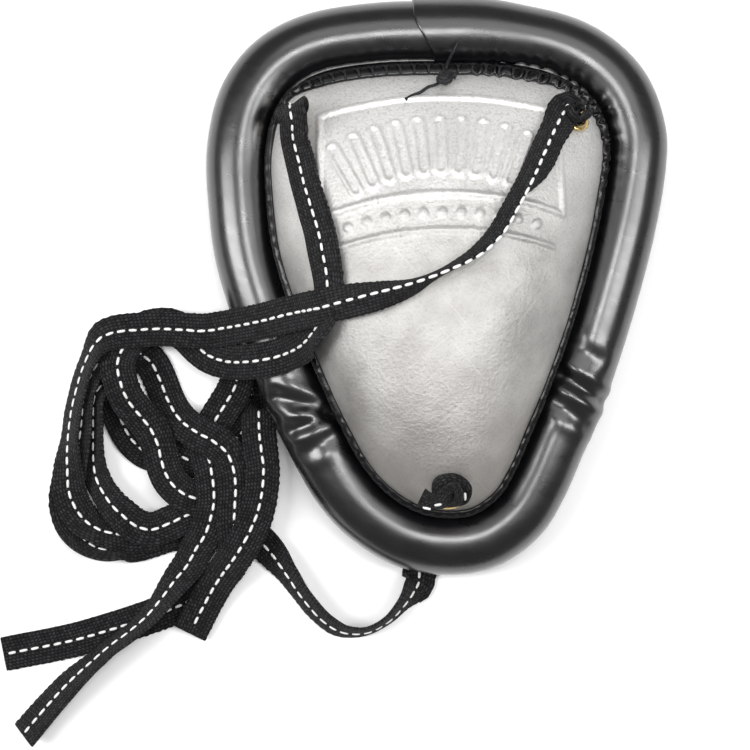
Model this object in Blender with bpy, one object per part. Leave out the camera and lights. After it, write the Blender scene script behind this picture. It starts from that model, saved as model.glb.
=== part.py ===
"""Groin protector: a cast metal cup with a padded rim, three eyelets and three tie straps.

It lies with its rim on the ground and its outer face up. Metres, +Z up, +Y towards the wearer's waist,
+X to the right as seen from in front. The origin is under the middle of the rim, on the ground.
"""
import math

import bmesh
import bpy
import numpy as np
from mathutils import Vector

# --- Driving dimensions -------------------------------------------------------------------------

GAP = 0.0003                    # left between pieces that touch

# Middle line of the padded rim, seen from above, from the top middle round by the left side.
RIM_LINE = [
    (0.0000, 0.0928), (-0.0220, 0.0925), (-0.0430, 0.0895), (-0.0575, 0.0823), (-0.0672, 0.0700),
    (-0.0715, 0.0545), (-0.0720, 0.0370), (-0.0695, 0.0130), (-0.0620, -0.0130), (-0.0523, -0.0380),
    (-0.0440, -0.0565), (-0.0365, -0.0700), (-0.0270, -0.0812), (-0.0140, -0.0897), (0.0000, -0.0929),
    (0.0140, -0.0912), (0.0262, -0.0830), (0.0335, -0.0720), (0.0395, -0.0590), (0.0470, -0.0420),
    (0.0550, -0.0210), (0.0625, 0.0030), (0.0683, 0.0250), (0.0720, 0.0450), (0.0717, 0.0570),
    (0.0663, 0.0710), (0.0560, 0.0815), (0.0420, 0.0882), (0.0220, 0.0920),
]
RIM_STATIONS = 56

RIM_CENTRE_HEIGHT = 0.0115      # middle of the rim's round section; its underside is pressed flat
COVER_RADIUS = 0.0122
COVER_WALL = 0.0010
FOAM_GAP = 0.0007                # foam to cover, wider than elsewhere so flat facets never touch
FOAM_RADIUS = COVER_RADIUS - COVER_WALL - FOAM_GAP
SLOT_ANGLE = math.radians(25)   # the slit faces inwards and up, and takes the shell's brim
SLOT_HALF_WIDTH = 0.0016
SLOT_DEPTH = -0.0012            # the slit ends just past the middle of the foam

LAP_UNDER = 0.0090              # the sleeve's under end lies this far right of the top middle
LAP_OVER = 0.0070               # its over end lies this far left of it
LAP_RISE = 0.0014               # the over end stands this much proud
LAP_TAPER = 0.0450
LAP_FADE = 0.0140

STRAP_DIP_X = -0.0085           # the crotch strap crosses under the rim here
STRAP_DIP_HALF_WIDTH = 0.0090
STRAP_DIP_FADE = 0.0100
STRAP_DIP_HEIGHT = 0.0026

SHELL_THICKNESS = 0.0020
SHELL_CENTRE = (0.0, -0.0080)
BRIM_OUTER = 0.0003             # distances inwards from the rim's middle line
BRIM_INNER = 0.0120
DOME_RISE = 0.0390
DOME_TOP_DROP = 0.12            # the front falls away by this share towards the waist
DOME_RINGS = [0.985, 0.955, 0.91, 0.85, 0.77, 0.66, 0.52, 0.36, 0.18]

HEM_THICKNESS = 0.0010
HEM_LIFT = 0.0005
HEM_OUTER = 0.987               # shares of the way out from the dome's middle to the brim
HEM_INNER = 0.965
HEM_INNER_TOP = 0.930
HEM_TOP_START = 0.0750
HEM_TOP_FULL = 0.0920
DRAWCORD_RADIUS = 0.0006
DRAWCORD_KNOT_PLACE = (0.0029, 0.0705)
DRAWCORD_KNOT_LIFT = 0.0043
DRAWCORD_KNOT_RADII = (0.0034, 0.0030, 0.0028)
DRAWCORD_TAIL_LIFT = 0.0022
DRAWCORD_TAIL = [(-0.0012, 0.0691), (-0.0030, 0.0685), (-0.0048, 0.0677), (-0.0082, 0.0659), (-0.0116, 0.0643)]
DRAWCORD_SHORT_TAIL = [(0.0035, 0.0776, 0.0300), (0.0039, 0.0790, 0.0284), (0.0046, 0.0806, 0.0269),
                       (0.0062, 0.0838, 0.0250), (0.0080, 0.0868, 0.0256)]

EYELETS = {
    "left": (-0.0508, 0.0592),
    "right": (0.0478, 0.0575),
    "crotch": (0.0007, -0.0745),
}
EYELET_HOLE_RADIUS = 0.0040
EYELET_BARREL_RADIUS = 0.0036
EYELET_BORE_RADIUS = 0.0031
EYELET_FLANGE_RADIUS = 0.0054
EYELET_FLANGE_THICKNESS = 0.0007
EYELET_SEAT = 0.0006            # the flange's underside above the shell's outer face
EYELET_REACH = 0.0048           # how far the barrel goes in from the shell's outer face
EYELET_ROLL_RADIUS = 0.0044
EYELET_ROLL_HEIGHT = 0.0006
WASHER_RADIUS = 0.0052
WASHER_SEAT = 0.0032            # the washer's outer side below the shell's outer face
WASHER_THICKNESS = 0.0006
HOLE_CUTTER_LENGTH = 0.0100
ROUND_SEGMENTS = 20

STRAP_WIDTH = 0.0127
STRAP_THICKNESS = 0.0014
STRAP_NECK_WIDTH = 0.0046       # bunched where it passes through an eyelet
STRAP_NECK_THICKNESS = 0.0024
STRAP_NECK_LENGTH = 0.0107
STRAP_NECK_FADE = 0.0080
STRAP_STATION = 0.0072          # spacing of the sections along a strap
STRAP_HEAD = 0.0280             # closer spacing over this first length, where it folds out of the eyelet
STRAP_HEAD_STEP = 0.0028
WAIST_START = -0.0052           # where a waist strap leaves its knot, measured out from the shell
CROTCH_START = 0.0032
STRAP_LEAD = 0.0040
KNOT_RADII = (0.0085, 0.0065, 0.0050)
KNOT_STANDOFF = KNOT_RADII[2] + GAP

# Strap routes: x, y, height and roll in degrees at points along each strap's middle, after it has left
# its eyelet. A roll above zero lifts the strap's right-hand edge, seen along its run.
LEFT_ROUTE = [
    (-0.0509, 0.0602, 0.0353, 36), (-0.0519, 0.0639, 0.0356, 39), (-0.0513, 0.0616, 0.0427, -41),
    (-0.0507, 0.0568, 0.0438, -41), (-0.0506, 0.0516, 0.0384, -41), (-0.0489, 0.0440, 0.0387, -38),
    (-0.0472, 0.0363, 0.0416, -38), (-0.0448, 0.0276, 0.0448, -35), (-0.0424, 0.0190, 0.0476, -33),
    (-0.0408, 0.0105, 0.0497, -33), (-0.0395, 0.0022, 0.0506, -37), (-0.0397, -0.0046, 0.0494, -41),
    (-0.0413, -0.0107, 0.0487, -45), (-0.0447, -0.0163, 0.0439, -59), (-0.0497, -0.0206, 0.0362, -8),
    (-0.0567, -0.0236, 0.0284, 0), (-0.0641, -0.0252, 0.0252, 0), (-0.0705, -0.0258, 0.0216, 0),
    (-0.0770, -0.0256, 0.0165, 0), (-0.0836, -0.0237, 0.0120, 0), (-0.0887, -0.0202, 0.0082, 0),
    (-0.0933, -0.0156, 0.0066, 0), (-0.0988, -0.0118, 0.0060, 0), (-0.1058, -0.0117, 0.0062, 0),
    (-0.1121, -0.0145, 0.0068, 0), (-0.1162, -0.0193, 0.0092, 0), (-0.1183, -0.0255, 0.0112, 2),
    (-0.1173, -0.0322, 0.0117, 2), (-0.1151, -0.0388, 0.0095, 2), (-0.1111, -0.0445, 0.0074, 0),
    (-0.1073, -0.0498, 0.0062, 0), (-0.1047, -0.0557, 0.0066, 0), (-0.1034, -0.0620, 0.0062, 0),
    (-0.1009, -0.0684, 0.0067, 0), (-0.0966, -0.0729, 0.0078, 0), (-0.0911, -0.0756, 0.0076, 0),
    (-0.0859, -0.0771, 0.0069, 0), (-0.0827, -0.0783, 0.0064, 0), (-0.0813, -0.0795, 0.0058, 0),
    (-0.0832, -0.0803, 0.0050, 0), (-0.0873, -0.0806, 0.0049, 0), (-0.0936, -0.0816, 0.0055, 0),
    (-0.1003, -0.0844, 0.0064, 0), (-0.1072, -0.0868, 0.0067, -2), (-0.1130, -0.0854, 0.0072, 0),
    (-0.1175, -0.0815, 0.0086, 8), (-0.1215, -0.0774, 0.0084, 22), (-0.1254, -0.0720, 0.0062, 32),
    (-0.1278, -0.0669, 0.0046, 34), (-0.1284, -0.0605, 0.0052, 46), (-0.1281, -0.0527, 0.0059, 54),
    (-0.1279, -0.0446, 0.0060, 56), (-0.1274, -0.0383, 0.0062, 58), (-0.1256, -0.0343, 0.0052, 45),
    (-0.1236, -0.0343, 0.0042, 30), (-0.1217, -0.0388, 0.0026, 14), (-0.1194, -0.0452, 0.0012, 4),
    (-0.1155, -0.0531, 0.0009, 0), (-0.1103, -0.0581, 0.0014, 0), (-0.1046, -0.0600, 0.0024, 0),
    (-0.0986, -0.0597, 0.0028, 0), (-0.0920, -0.0621, 0.0028, 0), (-0.0856, -0.0618, 0.0028, 0),
    (-0.0804, -0.0582, 0.0028, 0), (-0.0758, -0.0538, 0.0028, 0), (-0.0724, -0.0502, 0.0028, 0),
    (-0.0694, -0.0469, 0.0029, 0), (-0.0678, -0.0443, 0.0036, 0), (-0.0673, -0.0439, 0.0050, 0),
    (-0.0672, -0.0465, 0.0066, 3), (-0.0672, -0.0519, 0.0082, 10), (-0.0665, -0.0581, 0.0099, 16),
    (-0.0658, -0.0647, 0.0112, 22), (-0.0662, -0.0716, 0.0119, 22), (-0.0674, -0.0782, 0.0124, 18),
    (-0.0694, -0.0843, 0.0126, 8), (-0.0728, -0.0912, 0.0147, 0), (-0.0775, -0.0983, 0.0124, 0),
    (-0.0828, -0.1053, 0.0072, 0), (-0.0876, -0.1129, 0.0046, 0), (-0.0915, -0.1200, 0.0038, 0),
    (-0.0947, -0.1260, 0.0028, 0),
]
RIGHT_ROUTE = [
    (0.0468, 0.0578, 0.0373, -37), (0.0455, 0.0614, 0.0374, -41), (0.0436, 0.0590, 0.0419, 2),
    (0.0412, 0.0549, 0.0438, 5), (0.0386, 0.0501, 0.0437, 5), (0.0364, 0.0455, 0.0442, 5),
    (0.0328, 0.0382, 0.0478, 5), (0.0289, 0.0310, 0.0516, 11), (0.0248, 0.0240, 0.0570, 31),
    (0.0211, 0.0177, 0.0604, 50), (0.0168, 0.0125, 0.0626, 60), (0.0109, 0.0078, 0.0638, 62),
    (0.0044, 0.0046, 0.0642, 60), (-0.0027, 0.0017, 0.0641, 55), (-0.0100, -0.0008, 0.0632, 42),
    (-0.0178, -0.0028, 0.0601, 17), (-0.0269, -0.0048, 0.0563, 0), (-0.0362, -0.0067, 0.0565, 4),
    (-0.0432, -0.0081, 0.0527, 10), (-0.0498, -0.0089, 0.0420, 0), (-0.0564, -0.0100, 0.0360, 0),
    (-0.0639, -0.0114, 0.0290, 0), (-0.0712, -0.0125, 0.0233, 0), (-0.0782, -0.0133, 0.0174, 0),
    (-0.0859, -0.0141, 0.0135, 0), (-0.0945, -0.0135, 0.0115, 0), (-0.1026, -0.0130, 0.0108, 0),
    (-0.1107, -0.0132, 0.0106, 0), (-0.1181, -0.0138, 0.0106, -4), (-0.1233, -0.0155, 0.0106, -20),
    (-0.1267, -0.0188, 0.0102, -42), (-0.1292, -0.0231, 0.0092, -55), (-0.1317, -0.0286, 0.0080, -56),
    (-0.1338, -0.0348, 0.0070, -55), (-0.1359, -0.0429, 0.0066, -54), (-0.1372, -0.0514, 0.0064, -52),
    (-0.1378, -0.0588, 0.0068, -40), (-0.1381, -0.0651, 0.0061, -22), (-0.1382, -0.0719, 0.0048, -6),
    (-0.1364, -0.0779, 0.0041, 8), (-0.1329, -0.0830, 0.0050, 25), (-0.1283, -0.0864, 0.0060, 46),
    (-0.1240, -0.0880, 0.0057, 38), (-0.1189, -0.0888, 0.0052, 20), (-0.1136, -0.0895, 0.0038, 5),
    (-0.1077, -0.0889, 0.0029, 0), (-0.0977, -0.0869, 0.0028, 0), (-0.0883, -0.0837, 0.0028, 0),
    (-0.0805, -0.0806, 0.0035, 0), (-0.0749, -0.0748, 0.0016, 0), (-0.0714, -0.0667, 0.0009, 0),
    (-0.0697, -0.0577, 0.0009, 0), (-0.0692, -0.0488, 0.0009, 0), (-0.0697, -0.0398, 0.0009, 0),
    (-0.0707, -0.0316, 0.0009, 0), (-0.0720, -0.0256, 0.0014, 0), (-0.0734, -0.0234, 0.0030, 0),
    (-0.0744, -0.0252, 0.0047, 0), (-0.0748, -0.0297, 0.0050, 0), (-0.0760, -0.0348, 0.0048, 0),
    (-0.0791, -0.0403, 0.0047, 0), (-0.0830, -0.0462, 0.0045, 0), (-0.0860, -0.0517, 0.0046, 0),
    (-0.0868, -0.0572, 0.0052, 0), (-0.0853, -0.0635, 0.0083, 0), (-0.0842, -0.0708, 0.0095, 0),
    (-0.0842, -0.0777, 0.0098, 0), (-0.0860, -0.0845, 0.0089, 0), (-0.0881, -0.0897, 0.0083, 0),
    (-0.0914, -0.0947, 0.0066, -5), (-0.0945, -0.1003, 0.0046, -9), (-0.0995, -0.1065, 0.0031, -12),
    (-0.1043, -0.1130, 0.0039, -18), (-0.1095, -0.1190, 0.0053, -28), (-0.1159, -0.1245, 0.0074, -42),
    (-0.1230, -0.1295, 0.0078, -46), (-0.1307, -0.1359, 0.0062, -38), (-0.1395, -0.1436, 0.0036, -18),
    (-0.1483, -0.1528, 0.0014, -4), (-0.1568, -0.1624, 0.0009, 0),
]
CROTCH_ROUTE = [
    (0.0006, -0.0668, 0.0255, 0), (0.0002, -0.0652, 0.0185, 0), (-0.0010, -0.0664, 0.0105, 0),
    (-0.0030, -0.0705, 0.0042, 0), (-0.0045, -0.0765, 0.0013, 0), (-0.0060, -0.0840, 0.0010, 0),
    (-0.0072, -0.0920, 0.0010, 0), (-0.0084, -0.1000, 0.0010, 0), (-0.0095, -0.1083, 0.0026, 12),
    (-0.0119, -0.1120, 0.0056, 45), (-0.0153, -0.1162, 0.0069, 65), (-0.0206, -0.1216, 0.0070, 72),
    (-0.0277, -0.1255, 0.0070, 72), (-0.0344, -0.1262, 0.0066, 66), (-0.0403, -0.1246, 0.0064, 60),
    (-0.0465, -0.1197, 0.0063, 58), (-0.0526, -0.1122, 0.0060, 55), (-0.0580, -0.1041, 0.0054, 46),
    (-0.0636, -0.0967, 0.0038, 26), (-0.0699, -0.0912, 0.0019, 6), (-0.0778, -0.0886, 0.0009, 0),
    (-0.0860, -0.0877, 0.0009, 0), (-0.0942, -0.0879, 0.0009, 0), (-0.1024, -0.0896, 0.0009, 0),
    (-0.1091, -0.0917, 0.0011, -3), (-0.1146, -0.0930, 0.0020, -12), (-0.1195, -0.0934, 0.0044, -36),
    (-0.1244, -0.0945, 0.0065, -62), (-0.1295, -0.0930, 0.0064, -60), (-0.1345, -0.0889, 0.0049, -40),
    (-0.1386, -0.0828, 0.0021, -12), (-0.1402, -0.0762, 0.0010, 0), (-0.1392, -0.0698, 0.0017, 8),
    (-0.1369, -0.0638, 0.0035, 24), (-0.1341, -0.0567, 0.0056, 46), (-0.1324, -0.0478, 0.0059, 53),
    (-0.1315, -0.0393, 0.0060, 55), (-0.1295, -0.0316, 0.0060, 54), (-0.1250, -0.0246, 0.0054, 45),
    (-0.1187, -0.0210, 0.0030, 18), (-0.1122, -0.0215, 0.0014, 4), (-0.1071, -0.0257, 0.0009, 0),
    (-0.1039, -0.0325, 0.0009, 0), (-0.1010, -0.0400, 0.0014, 0), (-0.0964, -0.0467, 0.0043, 0),
    (-0.0902, -0.0512, 0.0073, 0), (-0.0842, -0.0545, 0.0087, 0), (-0.0790, -0.0590, 0.0096, 0),
    (-0.0765, -0.0656, 0.0105, 0), (-0.0759, -0.0726, 0.0115, 0), (-0.0764, -0.0792, 0.0112, 0),
    (-0.0766, -0.0852, 0.0112, 0), (-0.0761, -0.0912, 0.0115, 0), (-0.0771, -0.0966, 0.0095, 0),
    (-0.0801, -0.1021, 0.0042, 0), (-0.0855, -0.1070, 0.0013, 0), (-0.0913, -0.1114, 0.0009, 0),
    (-0.0973, -0.1154, 0.0009, 0), (-0.1059, -0.1186, 0.0009, 0), (-0.1157, -0.1218, 0.0009, 0),
    (-0.1262, -0.1249, 0.0009, 0), (-0.1367, -0.1277, 0.0009, 0), (-0.1472, -0.1298, 0.0009, 0),
    (-0.1566, -0.1314, 0.0009, 0), (-0.1644, -0.1328, 0.0009, 0),
]

# --- Curves and sections ------------------------------------------------------------------------


def curve_points(points, closed, per_span=12):
    """A smooth curve (Catmull-Rom) through the points, as an array."""
    rows = np.asarray(points, float)
    if closed:
        padded = np.vstack([rows[-1:], rows, rows[:2]])
    else:
        padded = np.vstack([2 * rows[0] - rows[1], rows, 2 * rows[-1] - rows[-2]])
    result = []
    for a, b, c, d in zip(padded[:-3], padded[1:-2], padded[2:-1], padded[3:]):
        for step in range(per_span):
            t = step / per_span
            result.append(0.5 * (2 * b + (c - a) * t + (2 * a - 5 * b + 4 * c - d) * t ** 2
                                 + (3 * b - a - 3 * c + d) * t ** 3))
    result.append(rows[0] if closed else rows[-1])
    return np.array(result)


def lengths_along(points, axes=3):
    """The distance along a polyline at each of its points."""
    steps = np.linalg.norm(np.diff(points[:, :axes], axis=0), axis=1)
    return np.concatenate([[0], np.cumsum(steps)])


def at_lengths(points, along, wanted):
    """The points at the wanted distances along a polyline."""
    return np.column_stack([np.interp(wanted, along, column) for column in points.T])


def smooth_step(value, low, high):
    """From 0 at low to 1 at high, with level ends."""
    t = np.clip((value - low) / (high - low), 0, 1)
    return t * t * (3 - 2 * t)


RIM_CURVE = curve_points(RIM_LINE, closed=True, per_span=24)
RIM_ALONG = lengths_along(RIM_CURVE)
RIM_LENGTH = RIM_ALONG[-1]
STATIONS = [RIM_LENGTH * i / RIM_STATIONS for i in range(RIM_STATIONS)]


def rim_frame(distance):
    """The rim line's point and inward normal at a distance from the top middle, round by the left."""
    step = 0.0005
    wanted = np.array([distance - step, distance, distance + step]) % RIM_LENGTH
    before, here, after = at_lengths(RIM_CURVE, RIM_ALONG, wanted)
    tangent = (after - before) / np.linalg.norm(after - before)
    return here, np.array([-tangent[1], tangent[0]])


def rim_point(distance, inward, height):
    """A point given by its distance round the rim, inwards from the rim line, and up."""
    here, normal = rim_frame(distance)
    return Vector((*(here + normal * inward), height))


# --- The dome -----------------------------------------------------------------------------------

INNER_LINE = np.array([rim_point(distance, BRIM_INNER, 0)[:2]
                       for distance in np.linspace(0, RIM_LENGTH, 361)[:-1]]) - SHELL_CENTRE
INNER_ANGLES = np.unwrap(np.arctan2(INNER_LINE[:, 1], INNER_LINE[:, 0]))
INNER_RADII = np.hypot(INNER_LINE[:, 0], INNER_LINE[:, 1])
BRIM_HEIGHT = RIM_CENTRE_HEIGHT + BRIM_INNER * math.tan(SLOT_ANGLE)


def dome_height(x, y):
    """The height of the shell's middle surface inside the rim."""
    dx = x - SHELL_CENTRE[0]
    dy = y - SHELL_CENTRE[1]
    reach = math.hypot(dx, dy)
    if reach < 1e-6:
        return BRIM_HEIGHT + DOME_RISE
    angle = math.atan2(dy, dx)
    while angle < INNER_ANGLES[0]:
        angle += 2 * math.pi
    radius = np.interp(angle, INNER_ANGLES, INNER_RADII)
    share = min(reach / radius, 1)
    top = float(smooth_step(dy / reach, 0.2, 0.95))
    spread = 2.8 - 0.3 * top
    bend = 0.5 + 0.28 * top
    rise = DOME_RISE * (1 - DOME_TOP_DROP * float(smooth_step(dy, 0, 0.08)))
    return BRIM_HEIGHT + rise * (1 - share ** spread) ** bend


def dome_normal(x, y):
    """The shell's outward normal above a point."""
    step = 0.0004
    slope_x = (dome_height(x + step, y) - dome_height(x - step, y)) / (2 * step)
    slope_y = (dome_height(x, y + step) - dome_height(x, y - step)) / (2 * step)
    return Vector((-slope_x, -slope_y, 1)).normalized()


# --- Mesh helpers -------------------------------------------------------------------------------


def make_object(name, vertices, faces, material, smooth=True, sharp_angle=40):
    """A named mesh object with one material."""
    mesh = bpy.data.meshes.new(name)
    mesh.from_pydata([tuple(v) for v in vertices], [], faces)
    mesh.validate()
    box = bmesh.new()
    box.from_mesh(mesh)
    bmesh.ops.recalc_face_normals(box, faces=box.faces)
    box.to_mesh(mesh)
    box.free()
    if smooth:
        mesh.shade_smooth()
        mesh.set_sharp_from_angle(angle=math.radians(sharp_angle))
    mesh.materials.append(material)
    item = bpy.data.objects.new(name, mesh)
    bpy.context.scene.collection.objects.link(item)
    return item


def skin(rows, closed):
    """Vertices and faces of a body through rows of section points, capped unless it closes on itself."""
    count = len(rows[0])
    vertices = [point for row in rows for point in row]
    faces = []
    for i in range(len(rows) if closed else len(rows) - 1):
        here = i * count
        there = (i + 1) % len(rows) * count
        for j in range(count):
            k = (j + 1) % count
            faces.append((here + j, here + k, there + k, there + j))
    if not closed:
        faces.append(tuple(reversed(range(count))))
        faces.append(tuple(range(len(vertices) - count, len(vertices))))
    return vertices, faces


def turned(name, profile, place, axis, material):
    """A ring: the profile's (radius, height) points turned about an axis."""
    turn = axis.to_track_quat("Z", "Y")
    rows = []
    for i in range(ROUND_SEGMENTS):
        angle = 2 * math.pi * i / ROUND_SEGMENTS
        rows.append([place + turn @ Vector((r * math.cos(angle), r * math.sin(angle), h))
                     for r, h in profile])
    return make_object(name, *skin(rows, closed=True), material)


def lump(name, place, axis, radii, material):
    """A plain rounded body for a tied knot: a sphere scaled along its own axes."""
    box = bmesh.new()
    bmesh.ops.create_uvsphere(box, u_segments=14, v_segments=8, radius=1)
    turn = axis.to_track_quat("Z", "Y")
    for vertex in box.verts:
        vertex.co = place + turn @ Vector([c * r for c, r in zip(vertex.co, radii)])
    faces = [[v.index for v in face.verts] for face in box.faces]
    vertices = [v.co.copy() for v in box.verts]
    box.free()
    return make_object(name, vertices, faces, material)


def make_material(name, colour, roughness, metallic=0.0):
    """A plain Principled material."""
    material = bpy.data.materials.new(name)
    material.use_nodes = True
    shader = material.node_tree.nodes["Principled BSDF"]
    shader.inputs["Base Color"].default_value = (*colour, 1)
    shader.inputs["Roughness"].default_value = roughness
    shader.inputs["Metallic"].default_value = metallic
    return material


# --- The padded rim -----------------------------------------------------------------------------


def underside(distance, over_end=False):
    """How high the rim's underside is held: by the crotch strap, and by the lap's over end."""
    here, _ = rim_frame(distance)
    if here[1] < 0:
        off = abs(here[0] - STRAP_DIP_X)
        return STRAP_DIP_HEIGHT * (1 - float(smooth_step(off, STRAP_DIP_HALF_WIDTH,
                                                         STRAP_DIP_HALF_WIDTH + STRAP_DIP_FADE)))
    if over_end:
        return 0.0
    return LAP_RISE * (1 - float(smooth_step(abs(here[0]), LAP_UNDER, LAP_UNDER + LAP_FADE)))


def split_ring(radius, count):
    """Section points (inward, up) of a round bar from one lip of the slit round to the other."""
    half = math.asin(SLOT_HALF_WIDTH / radius)
    angles = np.linspace(SLOT_ANGLE + half, SLOT_ANGLE - half + 2 * math.pi, count)
    return [(radius * math.cos(a), RIM_CENTRE_HEIGHT + radius * math.sin(a)) for a in angles]


def foam_section(distance):
    """The foam's section: a round bar with a parallel slit to its middle."""
    low = underside(distance) + COVER_WALL + FOAM_GAP
    direction = Vector((math.cos(SLOT_ANGLE), math.sin(SLOT_ANGLE)))
    across = Vector((-direction.y, direction.x)) * SLOT_HALF_WIDTH
    root = Vector((0, RIM_CENTRE_HEIGHT)) + direction * SLOT_DEPTH
    points = [(d, max(z, low)) for d, z in split_ring(FOAM_RADIUS, 16)]
    points += [tuple(root - across), tuple(root + across)]
    return [rim_point(distance, d, z) for d, z in points]


def cover_section(distance, rise, low):
    """The sleeve's section: a thin shell round the foam, open at the slit."""
    outer = [(d, max(z, low)) for d, z in split_ring(COVER_RADIUS + rise, 19)]
    inner = [(d, max(z, low + COVER_WALL)) for d, z in split_ring(COVER_RADIUS - COVER_WALL + rise, 19)]
    return [rim_point(distance, d, z) for d, z in outer + inner[::-1]]


def build_foam(material):
    """The slit foam tube, bent round with its ends nearly meeting at the top."""
    rows = [foam_section(d) for d in [GAP] + STATIONS[1:] + [RIM_LENGTH - GAP]]
    return make_object("rim_foam", *skin(rows, closed=False), material)


def build_cover(material):
    """The sleeve, starting under its own lap and going round by the left to end over it."""
    start = -LAP_UNDER
    end = RIM_LENGTH + LAP_OVER
    rows = []
    for distance in [start] + STATIONS + [RIM_LENGTH, end]:
        rise = LAP_RISE * float(smooth_step(distance, end - LAP_TAPER, end - LAP_UNDER - LAP_OVER))
        late = distance > RIM_LENGTH / 2
        low = underside(distance, over_end=late)
        rows.append(cover_section(distance, rise, low))
    return make_object("rim_cover", *skin(rows, closed=False), material)


# --- The shell and the rim's edge strips --------------------------------------------------------


def shell_point(distance, share, offset):
    """A point above the shell: a share of the way out to the brim, and an offset along its normal."""
    edge = rim_point(distance, BRIM_INNER, 0)
    x = SHELL_CENTRE[0] + (edge.x - SHELL_CENTRE[0]) * share
    y = SHELL_CENTRE[1] + (edge.y - SHELL_CENTRE[1]) * share
    return Vector((x, y, dome_height(x, y))) + dome_normal(x, y) * offset


def brim_point(distance, inward, offset):
    """A point on the flared brim, which runs down into the rim's slit."""
    _, normal = rim_frame(distance)
    here = rim_point(distance, inward, RIM_CENTRE_HEIGHT + inward * math.tan(SLOT_ANGLE))
    flat = Vector((*normal, 0))
    return here + (Vector((0, 0, 1)) * math.cos(SLOT_ANGLE) - flat * math.sin(SLOT_ANGLE)) * offset


def build_shell(material):
    """The dome and its brim, of even thickness, with a hole for each eyelet."""
    half = SHELL_THICKNESS / 2
    rows = []
    for distance in STATIONS:
        outside = [brim_point(distance, inward, half) for inward in (BRIM_OUTER, BRIM_INNER / 2)]
        corner = brim_point(distance, BRIM_INNER, 0)
        outside.append(corner + Vector((0, 0, half)))
        outside += [shell_point(distance, share, half) for share in DOME_RINGS]
        inside = [brim_point(distance, inward, -half) for inward in (BRIM_OUTER, BRIM_INNER / 2)]
        inside.append(brim_point(distance, BRIM_INNER + SHELL_THICKNESS / 2, -half))
        inside += [shell_point(distance, share, -half) for share in DOME_RINGS]
        rows.append(outside + inside[::-1])
    per_row = len(rows[0])
    ring = len(rows[0]) // 2
    vertices = [point for row in rows for point in row]
    faces = []
    for i in range(len(rows)):
        here = i * per_row
        there = (i + 1) % len(rows) * per_row
        for j in range(per_row - 1):
            if j != ring - 1:
                faces.append((here + j, here + j + 1, there + j + 1, there + j))
        faces.append((here + per_row - 1, here, there, there + per_row - 1))
    top = len(vertices)
    centre = Vector((*SHELL_CENTRE, dome_height(*SHELL_CENTRE)))
    vertices += [centre + Vector((0, 0, half)), centre - Vector((0, 0, half))]
    for i in range(len(rows)):
        here = i * per_row
        there = (i + 1) % len(rows) * per_row
        faces.append((here + ring - 1, there + ring - 1, top))
        faces.append((there + ring, here + ring, top + 1))
    shell = make_object("cup_shell", vertices, faces, material, sharp_angle=50)
    for side in EYELETS:
        hole = shell.modifiers.new(side + "_hole", "BOOLEAN")
        hole.operation = "DIFFERENCE"
        hole.solver = "EXACT"
        hole.object = hole_cutter(side)


def eyelet_frame(side):
    """An eyelet's middle on the shell's mid surface, and its outward axis."""
    x, y = EYELETS[side]
    return Vector((x, y, dome_height(x, y))), dome_normal(x, y)


def hole_cutter(side):
    """The hidden drill that cuts an eyelet's hole."""
    place, axis = eyelet_frame(side)
    box = bmesh.new()
    bmesh.ops.create_cone(box, cap_ends=True, segments=ROUND_SEGMENTS, radius1=EYELET_HOLE_RADIUS,
                          radius2=EYELET_HOLE_RADIUS, depth=HOLE_CUTTER_LENGTH)
    mesh = bpy.data.meshes.new(side + "_hole_cutter")
    box.to_mesh(mesh)
    box.free()
    cutter = bpy.data.objects.new(side + "_hole_cutter", mesh)
    bpy.context.scene.collection.objects.link(cutter)
    cutter.location = place
    cutter.rotation_mode = "QUATERNION"
    cutter.rotation_quaternion = axis.to_track_quat("Z", "Y")
    cutter.display_type = "WIRE"
    cutter.hide_render = True
    return cutter


def hem_inner(distance):
    """How far in an edge strip reaches, as a share of the way out; it is widest across the top."""
    here, _ = rim_frame(distance)
    return HEM_INNER + (HEM_INNER_TOP - HEM_INNER) * float(smooth_step(here[1], HEM_TOP_START, HEM_TOP_FULL))


def build_hem(name, low_offset, high_offset, material):
    """An edge strip of the sleeve, lying on a face of the shell just inside the rim."""
    rows = []
    for distance in STATIONS:
        inner = hem_inner(distance)
        rows.append([shell_point(distance, HEM_OUTER, low_offset), shell_point(distance, inner, low_offset),
                     shell_point(distance, inner, high_offset), shell_point(distance, HEM_OUTER, high_offset)])
    return make_object(name, *skin(rows, closed=True), material)


def build_drawcord(name, offset, material):
    """The cord that is laced round an edge strip."""
    line = [shell_point(distance, (HEM_OUTER + hem_inner(distance)) / 2, offset) for distance in STATIONS]
    return bevelled_curve(name, line, DRAWCORD_RADIUS, material, closed=True, resolution=1)


def bevelled_curve(name, line, radius, material, closed=False, resolution=2):
    """A round cord along a line of points."""
    curve = bpy.data.curves.new(name, "CURVE")
    curve.dimensions = "3D"
    curve.bevel_depth = radius
    curve.bevel_resolution = resolution
    curve.use_fill_caps = not closed
    spline = curve.splines.new("POLY")
    spline.points.add(len(line) - 1)
    spline.use_cyclic_u = closed
    for point, place in zip(spline.points, line):
        point.co = (*place, 1)
    item = bpy.data.objects.new(name, curve)
    bpy.context.scene.collection.objects.link(item)
    curve.materials.append(material)
    return item


def on_dome(x, y, lift):
    """A point at a given height off the shell's mid surface."""
    return Vector((x, y, dome_height(x, y))) + dome_normal(x, y) * lift


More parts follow.
